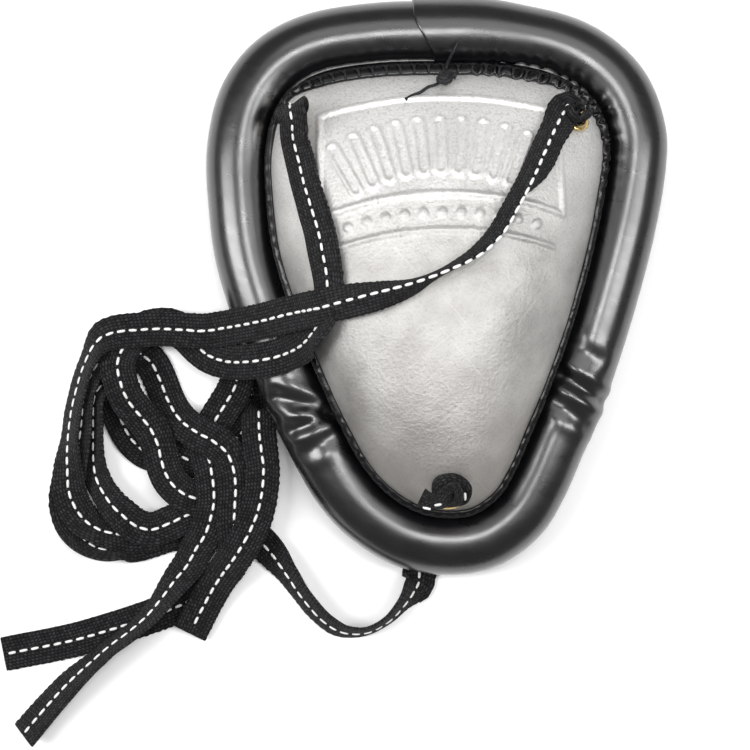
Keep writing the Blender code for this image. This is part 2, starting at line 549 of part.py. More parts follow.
def build_drawcord_ends(material):
    """The front drawcord's knot below the lap, and its two loose ends."""
    knot = on_dome(*DRAWCORD_KNOT_PLACE, DRAWCORD_KNOT_LIFT)
    lump("drawcord_knot", knot, dome_normal(*DRAWCORD_KNOT_PLACE), DRAWCORD_KNOT_RADII, material)
    tail = [on_dome(x, y, DRAWCORD_TAIL_LIFT) for x, y in DRAWCORD_TAIL]
    bevelled_curve("drawcord_tail", tail, DRAWCORD_RADIUS, material)
    short = [Vector(place) for place in DRAWCORD_SHORT_TAIL]
    bevelled_curve("drawcord_short_tail", short, DRAWCORD_RADIUS, material)


# --- Eyelets, straps and knots ------------------------------------------------------------------


def build_eyelet(side, brass, steel):
    """A grommet through the shell, and the washer that backs it."""
    place, axis = eyelet_frame(side)
    half = SHELL_THICKNESS / 2
    seat = half + EYELET_SEAT
    crown = seat + EYELET_FLANGE_THICKNESS
    foot = half - EYELET_REACH
    profile = [
        (EYELET_BORE_RADIUS, foot), (EYELET_ROLL_RADIUS, foot),
        (EYELET_ROLL_RADIUS, foot + EYELET_ROLL_HEIGHT), (EYELET_BARREL_RADIUS, foot + EYELET_ROLL_HEIGHT),
        (EYELET_BARREL_RADIUS, seat), (EYELET_FLANGE_RADIUS, seat),
        (EYELET_FLANGE_RADIUS - GAP, crown), (EYELET_BORE_RADIUS + GAP, crown),
        (EYELET_BORE_RADIUS, crown - GAP),
    ]
    turned(side + "_eyelet", profile, place, axis, brass)
    high = half - WASHER_SEAT
    low = high - WASHER_THICKNESS
    inner = EYELET_BARREL_RADIUS + GAP
    washer = [(inner, low), (WASHER_RADIUS, low), (WASHER_RADIUS, high), (inner, high)]
    turned(side + "_eyelet_washer", washer, place, axis, steel)


def strap_line(side, start, route):
    """A strap's middle line and roll, from inside its eyelet (or outside, at the crotch) to its free end."""
    place, axis = eyelet_frame(side)
    way = 1 if start < 0 else -1
    lead = [(*(place + axis * height), 0.0)
            for height in (start, start / 2, 0, way * STRAP_LEAD / 2, way * STRAP_LEAD)]
    return curve_points(lead + list(route), closed=False)


def strap_rows(line):
    """Section corners of a flat strap at even steps along its line."""
    along = lengths_along(line)
    head = list(np.arange(0, STRAP_HEAD, STRAP_HEAD_STEP))
    count = int((along[-1] - STRAP_HEAD) / STRAP_STATION) + 1
    distances = np.array(head + list(np.linspace(STRAP_HEAD, along[-1], count)))
    spots = at_lengths(line, along, distances)
    tangents = np.gradient(spots[:, :3], distances, axis=0)
    rows = []
    across = None
    for spot, tangent, distance in list(zip(spots, tangents, distances))[::-1]:
        forward = Vector(tangent).normalized()
        side = forward.cross(Vector((0, 0, 1))).normalized()
        if across is not None and side.dot(across) < 0:
            side = -side
        across = side
        normal = side.cross(forward)
        roll = math.radians(spot[3])
        wide = side * math.cos(roll) + normal * math.sin(roll)
        thick = forward.cross(wide)
        opening = float(smooth_step(distance, STRAP_NECK_LENGTH, STRAP_NECK_LENGTH + STRAP_NECK_FADE))
        half_width = (STRAP_NECK_WIDTH + (STRAP_WIDTH - STRAP_NECK_WIDTH) * opening) / 2
        half_thick = (STRAP_NECK_THICKNESS + (STRAP_THICKNESS - STRAP_NECK_THICKNESS) * opening) / 2
        middle = Vector(spot[:3])
        rows.append([middle + wide * half_width * a + thick * half_thick * b
                     for a, b in ((-1, -1), (1, -1), (1, 1), (-1, 1))])
    return rows[::-1]


def build_strap(name, side, start, route, material):
    """One tie strap."""
    rows = strap_rows(strap_line(side, start, route))
    return make_object(name, *skin(rows, closed=False), material, smooth=False)


def build_knot(name, side, offset, material):
    """A stopper knot on an eyelet's axis."""
    place, axis = eyelet_frame(side)
    return lump(name, place + axis * offset, axis, KNOT_RADII, material)


# --- Assembly -----------------------------------------------------------------------------------


def main():
    """Empty the scene and build every piece."""
    for item in list(bpy.data.objects):
        bpy.data.objects.remove(item, do_unlink=True)

    metal = make_material("cast_metal", (0.62, 0.61, 0.59), 0.38, 1.0)
    vinyl = make_material("black_vinyl", (0.012, 0.012, 0.013), 0.28)
    foam = make_material("grey_foam", (0.10, 0.10, 0.11), 0.95)
    thread = make_material("black_cord", (0.02, 0.02, 0.02), 0.7)
    brass = make_material("brass", (0.78, 0.58, 0.25), 0.3, 1.0)
    steel = make_material("washer_steel", (0.55, 0.55, 0.55), 0.35, 1.0)
    tape = make_material("black_webbing", (0.02, 0.02, 0.022), 0.85)

    build_shell(metal)
    build_foam(foam)
    build_cover(vinyl)

    half = SHELL_THICKNESS / 2
    near = half + HEM_LIFT
    far = near + HEM_THICKNESS
    cord = far + GAP + DRAWCORD_RADIUS
    build_hem("front_hem", near, far, vinyl)
    build_hem("rear_hem", -near, -far, vinyl)
    build_drawcord("front_drawcord", cord, thread)
    build_drawcord("rear_drawcord", -cord, thread)
    build_drawcord_ends(thread)

    for side in EYELETS:
        build_eyelet(side, brass, steel)

    build_strap("left_waist_strap", "left", WAIST_START, LEFT_ROUTE, tape)
    build_strap("right_waist_strap", "right", WAIST_START, RIGHT_ROUTE, tape)
    build_strap("crotch_strap", "crotch", CROTCH_START, CROTCH_ROUTE, tape)
    build_knot("left_strap_knot", "left", WAIST_START - KNOT_STANDOFF, tape)
    build_knot("right_strap_knot", "right", WAIST_START - KNOT_STANDOFF, tape)
    build_knot("crotch_strap_knot", "crotch", CROTCH_START + KNOT_STANDOFF, tape)


main()
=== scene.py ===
import math

import bmesh
import bpy
import numpy as np
from mathutils import Matrix, Vector


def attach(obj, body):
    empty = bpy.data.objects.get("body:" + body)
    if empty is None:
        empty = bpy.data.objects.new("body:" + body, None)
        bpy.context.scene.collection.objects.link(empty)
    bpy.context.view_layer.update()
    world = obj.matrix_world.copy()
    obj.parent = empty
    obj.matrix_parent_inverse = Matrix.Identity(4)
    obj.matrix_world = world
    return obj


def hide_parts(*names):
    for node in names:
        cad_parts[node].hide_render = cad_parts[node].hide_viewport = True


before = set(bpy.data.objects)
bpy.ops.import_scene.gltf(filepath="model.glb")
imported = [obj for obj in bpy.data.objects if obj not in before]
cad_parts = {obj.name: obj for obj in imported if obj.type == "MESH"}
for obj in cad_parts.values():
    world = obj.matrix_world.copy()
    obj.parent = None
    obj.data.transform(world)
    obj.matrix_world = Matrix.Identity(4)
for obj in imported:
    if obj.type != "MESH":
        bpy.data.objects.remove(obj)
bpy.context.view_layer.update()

RNG = np.random.default_rng(7)

# --- Dimensions shared with the solids, in metres -------------------------------------------------

RIM_LINE = [
    (0.0000, 0.0928), (-0.0220, 0.0925), (-0.0430, 0.0895), (-0.0575, 0.0823), (-0.0672, 0.0700),
    (-0.0715, 0.0545), (-0.0720, 0.0370), (-0.0695, 0.0130), (-0.0620, -0.0130), (-0.0523, -0.0380),
    (-0.0440, -0.0565), (-0.0365, -0.0700), (-0.0270, -0.0812), (-0.0140, -0.0897), (0.0000, -0.0929),
    (0.0140, -0.0912), (0.0262, -0.0830), (0.0335, -0.0720), (0.0395, -0.0590), (0.0470, -0.0420),
    (0.0550, -0.0210), (0.0625, 0.0030), (0.0683, 0.0250), (0.0720, 0.0450), (0.0717, 0.0570),
    (0.0663, 0.0710), (0.0560, 0.0815), (0.0420, 0.0882), (0.0220, 0.0920),
]
RIM_CENTRE_HEIGHT = 0.0115
COVER_RADIUS = 0.0122
COVER_WALL = 0.0010
FOAM_RADIUS = 0.0105
SLOT_ANGLE = math.radians(25)
SLOT_HALF_WIDTH = 0.0016
SLOT_DEPTH = -0.0012
LAP_UNDER = 0.0090
LAP_OVER = 0.0070
LAP_RISE = 0.0014
LAP_TAPER = 0.0450
LAP_FADE = 0.0140
STRAP_DIP_X = -0.0085
STRAP_DIP_HALF_WIDTH = 0.0090
STRAP_DIP_FADE = 0.0100
STRAP_DIP_HEIGHT = 0.0026
SHELL_THICKNESS = 0.0020
HALF_SHELL = SHELL_THICKNESS / 2
SHELL_CENTRE = np.array([0.0, -0.0080])
BRIM_INNER = 0.0120
DOME_RISE = 0.0390
DOME_TOP_DROP = 0.12
HEM_INNER = 0.965
HEM_INNER_TOP = 0.930
HEM_SIDE = 0.978
EYELETS = {"left": (-0.0508, 0.0592), "right": (0.0478, 0.0575), "crotch": (0.0007, -0.0745)}
STRAP_WIDTH = 0.0127
STRAP_THICKNESS = 0.0014
WAIST_START = -0.0052
CROTCH_START = 0.0032
STRAP_LEAD = 0.0040

# Strap routes: x, y, height and roll in degrees at points along each strap's middle, after it has left
# its eyelet. A roll above zero lifts the strap's right-hand edge, seen along its run.
LEFT_ROUTE = [
    (-0.0509, 0.0602, 0.0353, 36), (-0.0519, 0.0639, 0.0356, 39), (-0.0513, 0.0616, 0.0427, -41),
    (-0.0507, 0.0568, 0.0438, -41), (-0.0506, 0.0516, 0.0384, -41), (-0.0489, 0.0440, 0.0387, -38),
    (-0.0472, 0.0363, 0.0416, -38), (-0.0448, 0.0276, 0.0448, -35), (-0.0424, 0.0190, 0.0476, -33),
    (-0.0408, 0.0105, 0.0497, -33), (-0.0395, 0.0022, 0.0506, -37), (-0.0397, -0.0046, 0.0494, -41),
    (-0.0413, -0.0107, 0.0487, -45), (-0.0447, -0.0163, 0.0439, -59), (-0.0497, -0.0206, 0.0362, -8),
    (-0.0567, -0.0236, 0.0284, 0), (-0.0641, -0.0252, 0.0252, 0), (-0.0705, -0.0258, 0.0216, 0),
    (-0.0770, -0.0256, 0.0165, 0), (-0.0836, -0.0237, 0.0120, 0), (-0.0887, -0.0202, 0.0082, 0),
    (-0.0933, -0.0156, 0.0066, 0), (-0.0988, -0.0118, 0.0060, 0), (-0.1058, -0.0117, 0.0062, 0),
    (-0.1121, -0.0145, 0.0068, 0), (-0.1162, -0.0193, 0.0092, 0), (-0.1183, -0.0255, 0.0112, 2),
    (-0.1173, -0.0322, 0.0117, 2), (-0.1151, -0.0388, 0.0095, 2), (-0.1111, -0.0445, 0.0074, 0),
    (-0.1073, -0.0498, 0.0062, 0), (-0.1047, -0.0557, 0.0066, 0), (-0.1034, -0.0620, 0.0062, 0),
    (-0.1009, -0.0684, 0.0067, 0), (-0.0966, -0.0729, 0.0078, 0), (-0.0911, -0.0756, 0.0076, 0),
    (-0.0859, -0.0771, 0.0069, 0), (-0.0827, -0.0783, 0.0064, 0), (-0.0813, -0.0795, 0.0058, 0),
    (-0.0832, -0.0803, 0.0050, 0), (-0.0873, -0.0806, 0.0049, 0), (-0.0936, -0.0816, 0.0055, 0),
    (-0.1003, -0.0844, 0.0064, 0), (-0.1072, -0.0868, 0.0067, -2), (-0.1130, -0.0854, 0.0072, 0),
    (-0.1175, -0.0815, 0.0086, 8), (-0.1215, -0.0774, 0.0084, 22), (-0.1254, -0.0720, 0.0062, 32),
    (-0.1278, -0.0669, 0.0046, 34), (-0.1284, -0.0605, 0.0052, 46), (-0.1281, -0.0527, 0.0059, 54),
    (-0.1279, -0.0446, 0.0060, 56), (-0.1274, -0.0383, 0.0062, 58), (-0.1256, -0.0343, 0.0052, 45),
    (-0.1236, -0.0343, 0.0042, 30), (-0.1217, -0.0388, 0.0026, 14), (-0.1194, -0.0452, 0.0012, 4),
    (-0.1155, -0.0531, 0.0009, 0), (-0.1103, -0.0581, 0.0014, 0), (-0.1046, -0.0600, 0.0024, 0),
    (-0.0986, -0.0597, 0.0028, 0), (-0.0920, -0.0621, 0.0028, 0), (-0.0856, -0.0618, 0.0028, 0),
    (-0.0804, -0.0582, 0.0028, 0), (-0.0758, -0.0538, 0.0028, 0), (-0.0724, -0.0502, 0.0028, 0),
    (-0.0694, -0.0469, 0.0029, 0), (-0.0678, -0.0443, 0.0036, 0), (-0.0673, -0.0439, 0.0050, 0),
    (-0.0672, -0.0465, 0.0066, 3), (-0.0672, -0.0519, 0.0082, 10), (-0.0665, -0.0581, 0.0099, 16),
    (-0.0658, -0.0647, 0.0112, 22), (-0.0662, -0.0716, 0.0119, 22), (-0.0674, -0.0782, 0.0124, 18),
    (-0.0694, -0.0843, 0.0126, 8), (-0.0728, -0.0912, 0.0147, 0), (-0.0775, -0.0983, 0.0124, 0),
    (-0.0828, -0.1053, 0.0072, 0), (-0.0876, -0.1129, 0.0046, 0), (-0.0915, -0.1200, 0.0038, 0),
    (-0.0947, -0.1260, 0.0028, 0),
]
RIGHT_ROUTE = [
    (0.0468, 0.0578, 0.0373, -37), (0.0455, 0.0614, 0.0374, -41), (0.0436, 0.0590, 0.0419, 2),
    (0.0412, 0.0549, 0.0438, 5), (0.0386, 0.0501, 0.0437, 5), (0.0364, 0.0455, 0.0442, 5),
    (0.0328, 0.0382, 0.0478, 5), (0.0289, 0.0310, 0.0516, 11), (0.0248, 0.0240, 0.0570, 31),
    (0.0211, 0.0177, 0.0604, 50), (0.0168, 0.0125, 0.0626, 60), (0.0109, 0.0078, 0.0638, 62),
    (0.0044, 0.0046, 0.0642, 60), (-0.0027, 0.0017, 0.0641, 55), (-0.0100, -0.0008, 0.0632, 42),
    (-0.0178, -0.0028, 0.0601, 17), (-0.0269, -0.0048, 0.0563, 0), (-0.0362, -0.0067, 0.0565, 4),
    (-0.0432, -0.0081, 0.0527, 10), (-0.0498, -0.0089, 0.0420, 0), (-0.0564, -0.0100, 0.0360, 0),
    (-0.0639, -0.0114, 0.0290, 0), (-0.0712, -0.0125, 0.0233, 0), (-0.0782, -0.0133, 0.0174, 0),
    (-0.0859, -0.0141, 0.0135, 0), (-0.0945, -0.0135, 0.0115, 0), (-0.1026, -0.0130, 0.0108, 0),
    (-0.1107, -0.0132, 0.0106, 0), (-0.1181, -0.0138, 0.0106, -4), (-0.1233, -0.0155, 0.0106, -20),
    (-0.1267, -0.0188, 0.0102, -42), (-0.1292, -0.0231, 0.0092, -55), (-0.1317, -0.0286, 0.0080, -56),
    (-0.1338, -0.0348, 0.0070, -55), (-0.1359, -0.0429, 0.0066, -54), (-0.1372, -0.0514, 0.0064, -52),
    (-0.1378, -0.0588, 0.0068, -40), (-0.1381, -0.0651, 0.0061, -22), (-0.1382, -0.0719, 0.0048, -6),
    (-0.1364, -0.0779, 0.0041, 8), (-0.1329, -0.0830, 0.0050, 25), (-0.1283, -0.0864, 0.0060, 46),
    (-0.1240, -0.0880, 0.0057, 38), (-0.1189, -0.0888, 0.0052, 20), (-0.1136, -0.0895, 0.0038, 5),
    (-0.1077, -0.0889, 0.0029, 0), (-0.0977, -0.0869, 0.0028, 0), (-0.0883, -0.0837, 0.0028, 0),
    (-0.0805, -0.0806, 0.0035, 0), (-0.0749, -0.0748, 0.0016, 0), (-0.0714, -0.0667, 0.0009, 0),
    (-0.0697, -0.0577, 0.0009, 0), (-0.0692, -0.0488, 0.0009, 0), (-0.0697, -0.0398, 0.0009, 0),
    (-0.0707, -0.0316, 0.0009, 0), (-0.0720, -0.0256, 0.0014, 0), (-0.0734, -0.0234, 0.0030, 0),
    (-0.0744, -0.0252, 0.0047, 0), (-0.0748, -0.0297, 0.0050, 0), (-0.0760, -0.0348, 0.0048, 0),
    (-0.0791, -0.0403, 0.0047, 0), (-0.0830, -0.0462, 0.0045, 0), (-0.0860, -0.0517, 0.0046, 0),
    (-0.0868, -0.0572, 0.0052, 0), (-0.0853, -0.0635, 0.0083, 0), (-0.0842, -0.0708, 0.0095, 0),
    (-0.0842, -0.0777, 0.0098, 0), (-0.0860, -0.0845, 0.0089, 0), (-0.0881, -0.0897, 0.0083, 0),
    (-0.0914, -0.0947, 0.0066, -5), (-0.0945, -0.1003, 0.0046, -9), (-0.0995, -0.1065, 0.0031, -12),
    (-0.1043, -0.1130, 0.0039, -18), (-0.1095, -0.1190, 0.0053, -28), (-0.1159, -0.1245, 0.0074, -42),
    (-0.1230, -0.1295, 0.0078, -46), (-0.1307, -0.1359, 0.0062, -38), (-0.1395, -0.1436, 0.0036, -18),
    (-0.1483, -0.1528, 0.0014, -4), (-0.1568, -0.1624, 0.0009, 0),
]
CROTCH_ROUTE = [
    (0.0006, -0.0668, 0.0255, 0), (0.0002, -0.0652, 0.0185, 0), (-0.0010, -0.0664, 0.0105, 0),
    (-0.0030, -0.0705, 0.0042, 0), (-0.0045, -0.0765, 0.0013, 0), (-0.0060, -0.0840, 0.0010, 0),
    (-0.0072, -0.0920, 0.0010, 0), (-0.0084, -0.1000, 0.0010, 0), (-0.0095, -0.1083, 0.0026, 12),
    (-0.0119, -0.1120, 0.0056, 45), (-0.0153, -0.1162, 0.0069, 65), (-0.0206, -0.1216, 0.0070, 72),
    (-0.0277, -0.1255, 0.0070, 72), (-0.0344, -0.1262, 0.0066, 66), (-0.0403, -0.1246, 0.0064, 60),
    (-0.0465, -0.1197, 0.0063, 58), (-0.0526, -0.1122, 0.0060, 55), (-0.0580, -0.1041, 0.0054, 46),
    (-0.0636, -0.0967, 0.0038, 26), (-0.0699, -0.0912, 0.0019, 6), (-0.0778, -0.0886, 0.0009, 0),
    (-0.0860, -0.0877, 0.0009, 0), (-0.0942, -0.0879, 0.0009, 0), (-0.1024, -0.0896, 0.0009, 0),
    (-0.1091, -0.0917, 0.0011, -3), (-0.1146, -0.0930, 0.0020, -12), (-0.1195, -0.0934, 0.0044, -36),
    (-0.1244, -0.0945, 0.0065, -62), (-0.1295, -0.0930, 0.0064, -60), (-0.1345, -0.0889, 0.0049, -40),
    (-0.1386, -0.0828, 0.0021, -12), (-0.1402, -0.0762, 0.0010, 0), (-0.1392, -0.0698, 0.0017, 8),
    (-0.1369, -0.0638, 0.0035, 24), (-0.1341, -0.0567, 0.0056, 46), (-0.1324, -0.0478, 0.0059, 53),
    (-0.1315, -0.0393, 0.0060, 55), (-0.1295, -0.0316, 0.0060, 54), (-0.1250, -0.0246, 0.0054, 45),
    (-0.1187, -0.0210, 0.0030, 18), (-0.1122, -0.0215, 0.0014, 4), (-0.1071, -0.0257, 0.0009, 0),
    (-0.1039, -0.0325, 0.0009, 0), (-0.1010, -0.0400, 0.0014, 0), (-0.0964, -0.0467, 0.0043, 0),
    (-0.0902, -0.0512, 0.0073, 0), (-0.0842, -0.0545, 0.0087, 0), (-0.0790, -0.0590, 0.0096, 0),
    (-0.0765, -0.0656, 0.0105, 0), (-0.0759, -0.0726, 0.0115, 0), (-0.0764, -0.0792, 0.0112, 0),
    (-0.0766, -0.0852, 0.0112, 0), (-0.0761, -0.0912, 0.0115, 0), (-0.0771, -0.0966, 0.0095, 0),
    (-0.0801, -0.1021, 0.0042, 0), (-0.0855, -0.1070, 0.0013, 0), (-0.0913, -0.1114, 0.0009, 0),
    (-0.0973, -0.1154, 0.0009, 0), (-0.1059, -0.1186, 0.0009, 0), (-0.1157, -0.1218, 0.0009, 0),
    (-0.1262, -0.1249, 0.0009, 0), (-0.1367, -0.1277, 0.0009, 0), (-0.1472, -0.1298, 0.0009, 0),
    (-0.1566, -0.1314, 0.0009, 0), (-0.1644, -0.1328, 0.0009, 0),
]

# --- Curves ---------------------------------------------------------------------------------------


def curve_points(points, closed, per_span=12):
    """A smooth curve (Catmull-Rom) through the points."""
    rows = np.asarray(points, float)
    if closed:
        padded = np.vstack([rows[-1:], rows, rows[:2]])
    else:
        padded = np.vstack([2 * rows[0] - rows[1], rows, 2 * rows[-1] - rows[-2]])
    t = (np.arange(per_span) / per_span)[:, None]
    result = []
    for a, b, c, d in zip(padded[:-3], padded[1:-2], padded[2:-1], padded[3:]):
        result.append(0.5 * (2 * b + (c - a) * t + (2 * a - 5 * b + 4 * c - d) * t ** 2
                             + (3 * b - a - 3 * c + d) * t ** 3))
    result.append(rows[:1] if closed else rows[-1:])
    return np.vstack(result)


def lengths_along(points):
    """The distance along a polyline at each of its points."""
    return np.concatenate([[0], np.cumsum(np.linalg.norm(np.diff(points[:, :3], axis=0), axis=1))])


def at_lengths(points, along, wanted):
    """The points at the wanted distances along a polyline."""
    return np.column_stack([np.interp(wanted, along, column) for column in points.T])


def smooth_step(value, low, high):
    """From 0 at low to 1 at high, with level ends."""
    t = np.clip((value - low) / (high - low), 0, 1)
    return t * t * (3 - 2 * t)


def unit(vectors):
    """Rows scaled to length 1."""
    return vectors / np.maximum(np.linalg.norm(vectors, axis=-1, keepdims=True), 1e-12)


def soft_noise(values, seed, octaves=3):
    """Smooth wandering noise of about unit size along one axis; values are in wavelengths."""
    chooser = np.random.default_rng(seed)
    total = np.zeros_like(values, dtype=float)
    for octave in range(octaves):
        phases = chooser.uniform(0, 2 * math.pi, 3)
        rates = chooser.uniform(0.7, 1.3, 3) * 2 ** octave
        for phase, rate in zip(phases, rates):
            total += np.sin(2 * math.pi * rate * values + phase) / (3 * 1.6 ** octave)
    return total


def bell(value, middle, width):
    """A rounded bump of height 1."""
    return np.exp(-((value - middle) / width) ** 2)


# --- The rim line and the dome --------------------------------------------------------------------

RIM_CURVE = curve_points(RIM_LINE, closed=True, per_span=24)
RIM_ALONG = lengths_along(RIM_CURVE)
RIM_LENGTH = RIM_ALONG[-1]


def rim_frames(distances):
    """Points on the rim line and their inward normals, at distances from the top middle round by the left."""
    distances = np.asarray(distances, float)
    step = 0.0005
    before, here, after = (at_lengths(RIM_CURVE, RIM_ALONG, (distances + shift) % RIM_LENGTH)
                           for shift in (-step, 0, step))
    tangent = unit(after - before)
    return here, np.column_stack([-tangent[:, 1], tangent[:, 0]])


def rim_points(distances, inward, height):
    """Points by distance round the rim, inwards from the rim line, and up."""
    here, normal = rim_frames(distances)
    return np.column_stack([here + normal * np.reshape(inward, (-1, 1)), np.broadcast_to(height, len(here))])


INNER_LINE = rim_points(np.linspace(0, RIM_LENGTH, 361)[:-1], BRIM_INNER, 0.0)[:, :2] - SHELL_CENTRE
INNER_ANGLES = np.unwrap(np.arctan2(INNER_LINE[:, 1], INNER_LINE[:, 0]))
INNER_RADII = np.hypot(INNER_LINE[:, 0], INNER_LINE[:, 1])
BRIM_HEIGHT = RIM_CENTRE_HEIGHT + BRIM_INNER * math.tan(SLOT_ANGLE)


def dome_height(x, y):
    """The height of the shell's middle surface inside the rim."""
    dx = np.asarray(x, float) - SHELL_CENTRE[0]
    dy = np.asarray(y, float) - SHELL_CENTRE[1]
    reach = np.maximum(np.hypot(dx, dy), 1e-6)
    angle = np.arctan2(dy, dx)
    angle = np.where(angle < INNER_ANGLES[0], angle + 2 * math.pi, angle)
    share = np.minimum(reach / np.interp(angle, INNER_ANGLES, INNER_RADII), 1)
    top = smooth_step(dy / reach, 0.2, 0.95)
    rise = DOME_RISE * (1 - DOME_TOP_DROP * smooth_step(dy, 0, 0.08))
    return BRIM_HEIGHT + rise * (1 - share ** (2.8 - 0.3 * top)) ** (0.5 + 0.28 * top)


def dome_normal(x, y):
    """The shell's outward normals above points."""
    step = 0.0004
    slope_x = (dome_height(x + step, y) - dome_height(x - step, y)) / (2 * step)
    slope_y = (dome_height(x, y + step) - dome_height(x, y - step)) / (2 * step)
    return unit(np.stack([-slope_x, -slope_y, np.ones_like(slope_x)], axis=-1))


def shell_points(distances, share, offset):
    """Points off the shell: a share of the way out to the brim, and an offset along the normal."""
    edge = rim_points(distances, BRIM_INNER, 0.0)[:, :2]
    spot = SHELL_CENTRE + (edge - SHELL_CENTRE) * np.reshape(share, (-1, 1))
    x, y = spot[:, 0], spot[:, 1]
    return np.column_stack([spot, dome_height(x, y)]) + dome_normal(x, y) * np.reshape(offset, (-1, 1))


def underside(distances, over_end):
    """How high the rim's underside is held: by the crotch strap, and by the lap's over end."""
    here, _ = rim_frames(distances)
    off = np.abs(here[:, 0] - STRAP_DIP_X) - STRAP_DIP_HALF_WIDTH
    dip = STRAP_DIP_HEIGHT * (1 - smooth_step(off, 0, STRAP_DIP_FADE))
    lap = LAP_RISE * (1 - smooth_step(np.abs(here[:, 0]), LAP_UNDER, LAP_UNDER + LAP_FADE))
    return np.where(here[:, 1] < 0, dip, np.where(over_end, 0.0, lap))


def rows_round(here, normal, inward, height):
    """Rows of points on sections across the rim, by how far in they are and how high."""
    flat = here[:, None] + normal[:, None] * inward[..., None]
    return np.concatenate([flat, height[..., None]], axis=-1)


def eyelet_frame(side):
    """An eyelet's middle on the shell's middle surface, and its outward axis."""
    x, y = EYELETS[side]
    return np.array([x, y, float(dome_height(x, y))]), dome_normal(np.array(x), np.array(y))


# --- Camera, light and floor ----------------------------------------------------------------------

CAMERA_PLACE = (-0.02406, -0.03139, 0.62)
CAMERA_TURN = math.radians(-1.1)
CAMERA_LENS = 79.7
# Each lamp's name, place, the point it is aimed at, size, power in watts, and turn about its own axis.
LAMPS = [
    ("left_softbox", (-0.50, 0.00, 0.54), (0, 0, 0), (0.24, 0.50), 4.3, 0),
    ("right_softbox", (0.40, -0.02, 0.66), (0, 0, 0), (0.20, 0.50), 3.3, 0),
    ("back_softbox", (0.12, 0.44, 0.78), (0, 0, 0), (0.80, 0.36), 1.8, 0),
    ("overhead_softbox", (0.01, 0.065, 0.80), (0.01, 0.065, 0), (0.24, 0.15), 1.9, 40),
]
AMBIENT_STRENGTH = 0.22
FLOOR_SIZE = 6


def add_camera():
    """Looks straight down at the guard and its straps."""
    camera = bpy.data.cameras.new("camera")
    camera.lens = CAMERA_LENS
    camera.clip_start = 0.01
    item = bpy.data.objects.new("camera", camera)
    item.location = CAMERA_PLACE
    item.rotation_euler = (0, 0, CAMERA_TURN)
    bpy.context.scene.collection.objects.link(item)
    bpy.context.scene.camera = item


def add_lamp(name, place, target, size, power, turn):
    """A soft rectangular lamp."""
    light = bpy.data.lights.new(name, "AREA")
    light.shape = "RECTANGLE"
    light.size, light.size_y = size
    light.energy = power
    item = bpy.data.objects.new(name, light)
    item.location = place
    aim = (Vector(target) - Vector(place)).to_track_quat("-Z", "Y").to_matrix()
    item.rotation_euler = (aim @ Matrix.Rotation(math.radians(turn), 3, "Z")).to_euler()
    bpy.context.scene.collection.objects.link(item)


def add_surroundings():
    """Even white light all round, and the floor."""
    world = bpy.data.worlds.new("studio")
    world.use_nodes = True
    background = world.node_tree.nodes["Background"]
    background.inputs["Color"].default_value = (1, 1, 1, 1)
    background.inputs["Strength"].default_value = AMBIENT_STRENGTH
    bpy.context.scene.world = world
    bpy.context.scene.view_settings.view_transform = "Standard"
    bpy.ops.mesh.primitive_plane_add(size=FLOOR_SIZE, location=(0, 0, 0))
    floor = bpy.context.object
    floor.name = "floor"
    floor.data.materials.append(pale_floor())


# --- Materials ------------------------------------------------------------------------------------


class Recipe:
    """A material being put together from nodes."""

    def __init__(self, name, **settings):
        self.material = bpy.data.materials.new(name)
        self.material.use_nodes = True
        self.tree = self.material.node_tree
        self.shader = self.tree.nodes["Principled BSDF"]
        for key, value in settings.items():
            self.shader.inputs[key.replace("_", " ").title().replace("Ior", "IOR")].default_value = value

    def feed(self, socket, value):
        """Links another node's socket to an input, or gives it a value."""
        if isinstance(value, bpy.types.NodeSocket):
            self.tree.links.new(value, socket)
        else:
            socket.default_value = value

    def add(self, kind, inputs, output=0, **settings):
        """A node's output socket; inputs are values or other nodes' sockets."""
        item = self.tree.nodes.new("ShaderNode" + kind)
        for key, value in settings.items():
            setattr(item, key, value)
        for key, value in inputs.items():
            self.feed(item.inputs[key], value)
        return item.outputs[output]

    def place(self):
        """Object coordinates in metres."""
        return self.add("TexCoord", {}, output="Object")

    def tape_place(self):
        """Millimetres across and along a strip, from its UV map."""
        flat = self.add("TexCoord", {}, output="UV")
        return [self.add("SeparateXYZ", {0: flat}, output=axis) for axis in "XY"]

    def noise(self, vector, scale, detail=3.0, roughness=0.55):
        """Plain noise from 0 to 1."""
        inputs = {"Vector": vector, "Scale": scale, "Detail": detail, "Roughness": roughness}
        return self.add("TexNoise", inputs)

    def math(self, operation, a, b=0.0):
        """One Math node's result."""
        return self.add("Math", {0: a, 1: b}, operation=operation)

    def plus(self, a, b):
        """a plus b."""
        return self.math("ADD", a, b)

    def times(self, a, b):
        """a times b."""
        return self.math("MULTIPLY", a, b)

    def ramp(self, value, low, high, to_low=0.0, to_high=1.0):
        """value's span low to high, moved to the span to_low to to_high and held there."""
        return self.add("MapRange", {0: value, 1: low, 2: high, 3: to_low, 4: to_high})

    def mix(self, share, low, high):
        """A colour between two colours."""
        low, high = ((*colour, 1) if isinstance(colour, tuple) else colour for colour in (low, high))
        return self.add("Mix", {0: share, 6: low, 7: high}, output=2, data_type="RGBA")

    def stretched(self, vector, scale, turn=(0, 0, 0)):
        """Coordinates turned, then stretched."""
        turned = self.add("Mapping", {"Vector": vector, "Rotation": turn})
        return self.add("Mapping", {"Vector": turned, "Scale": scale})

    def finish(self, colour, roughness=None, bumps=()):
        """Links colour, roughness and a chain of (height, strength, distance) bumps."""
        normal = {}
        for height, strength, distance in bumps:
            bump = {"Height": height, "Strength": strength, "Distance": distance}
            normal = {"Normal": self.add("Bump", {**bump, **normal})}
        for key, value in {"Base Color": colour, "Roughness": roughness, **normal}.items():
            if value is not None:
                self.feed(self.shader.inputs[key], value)
        return self.material


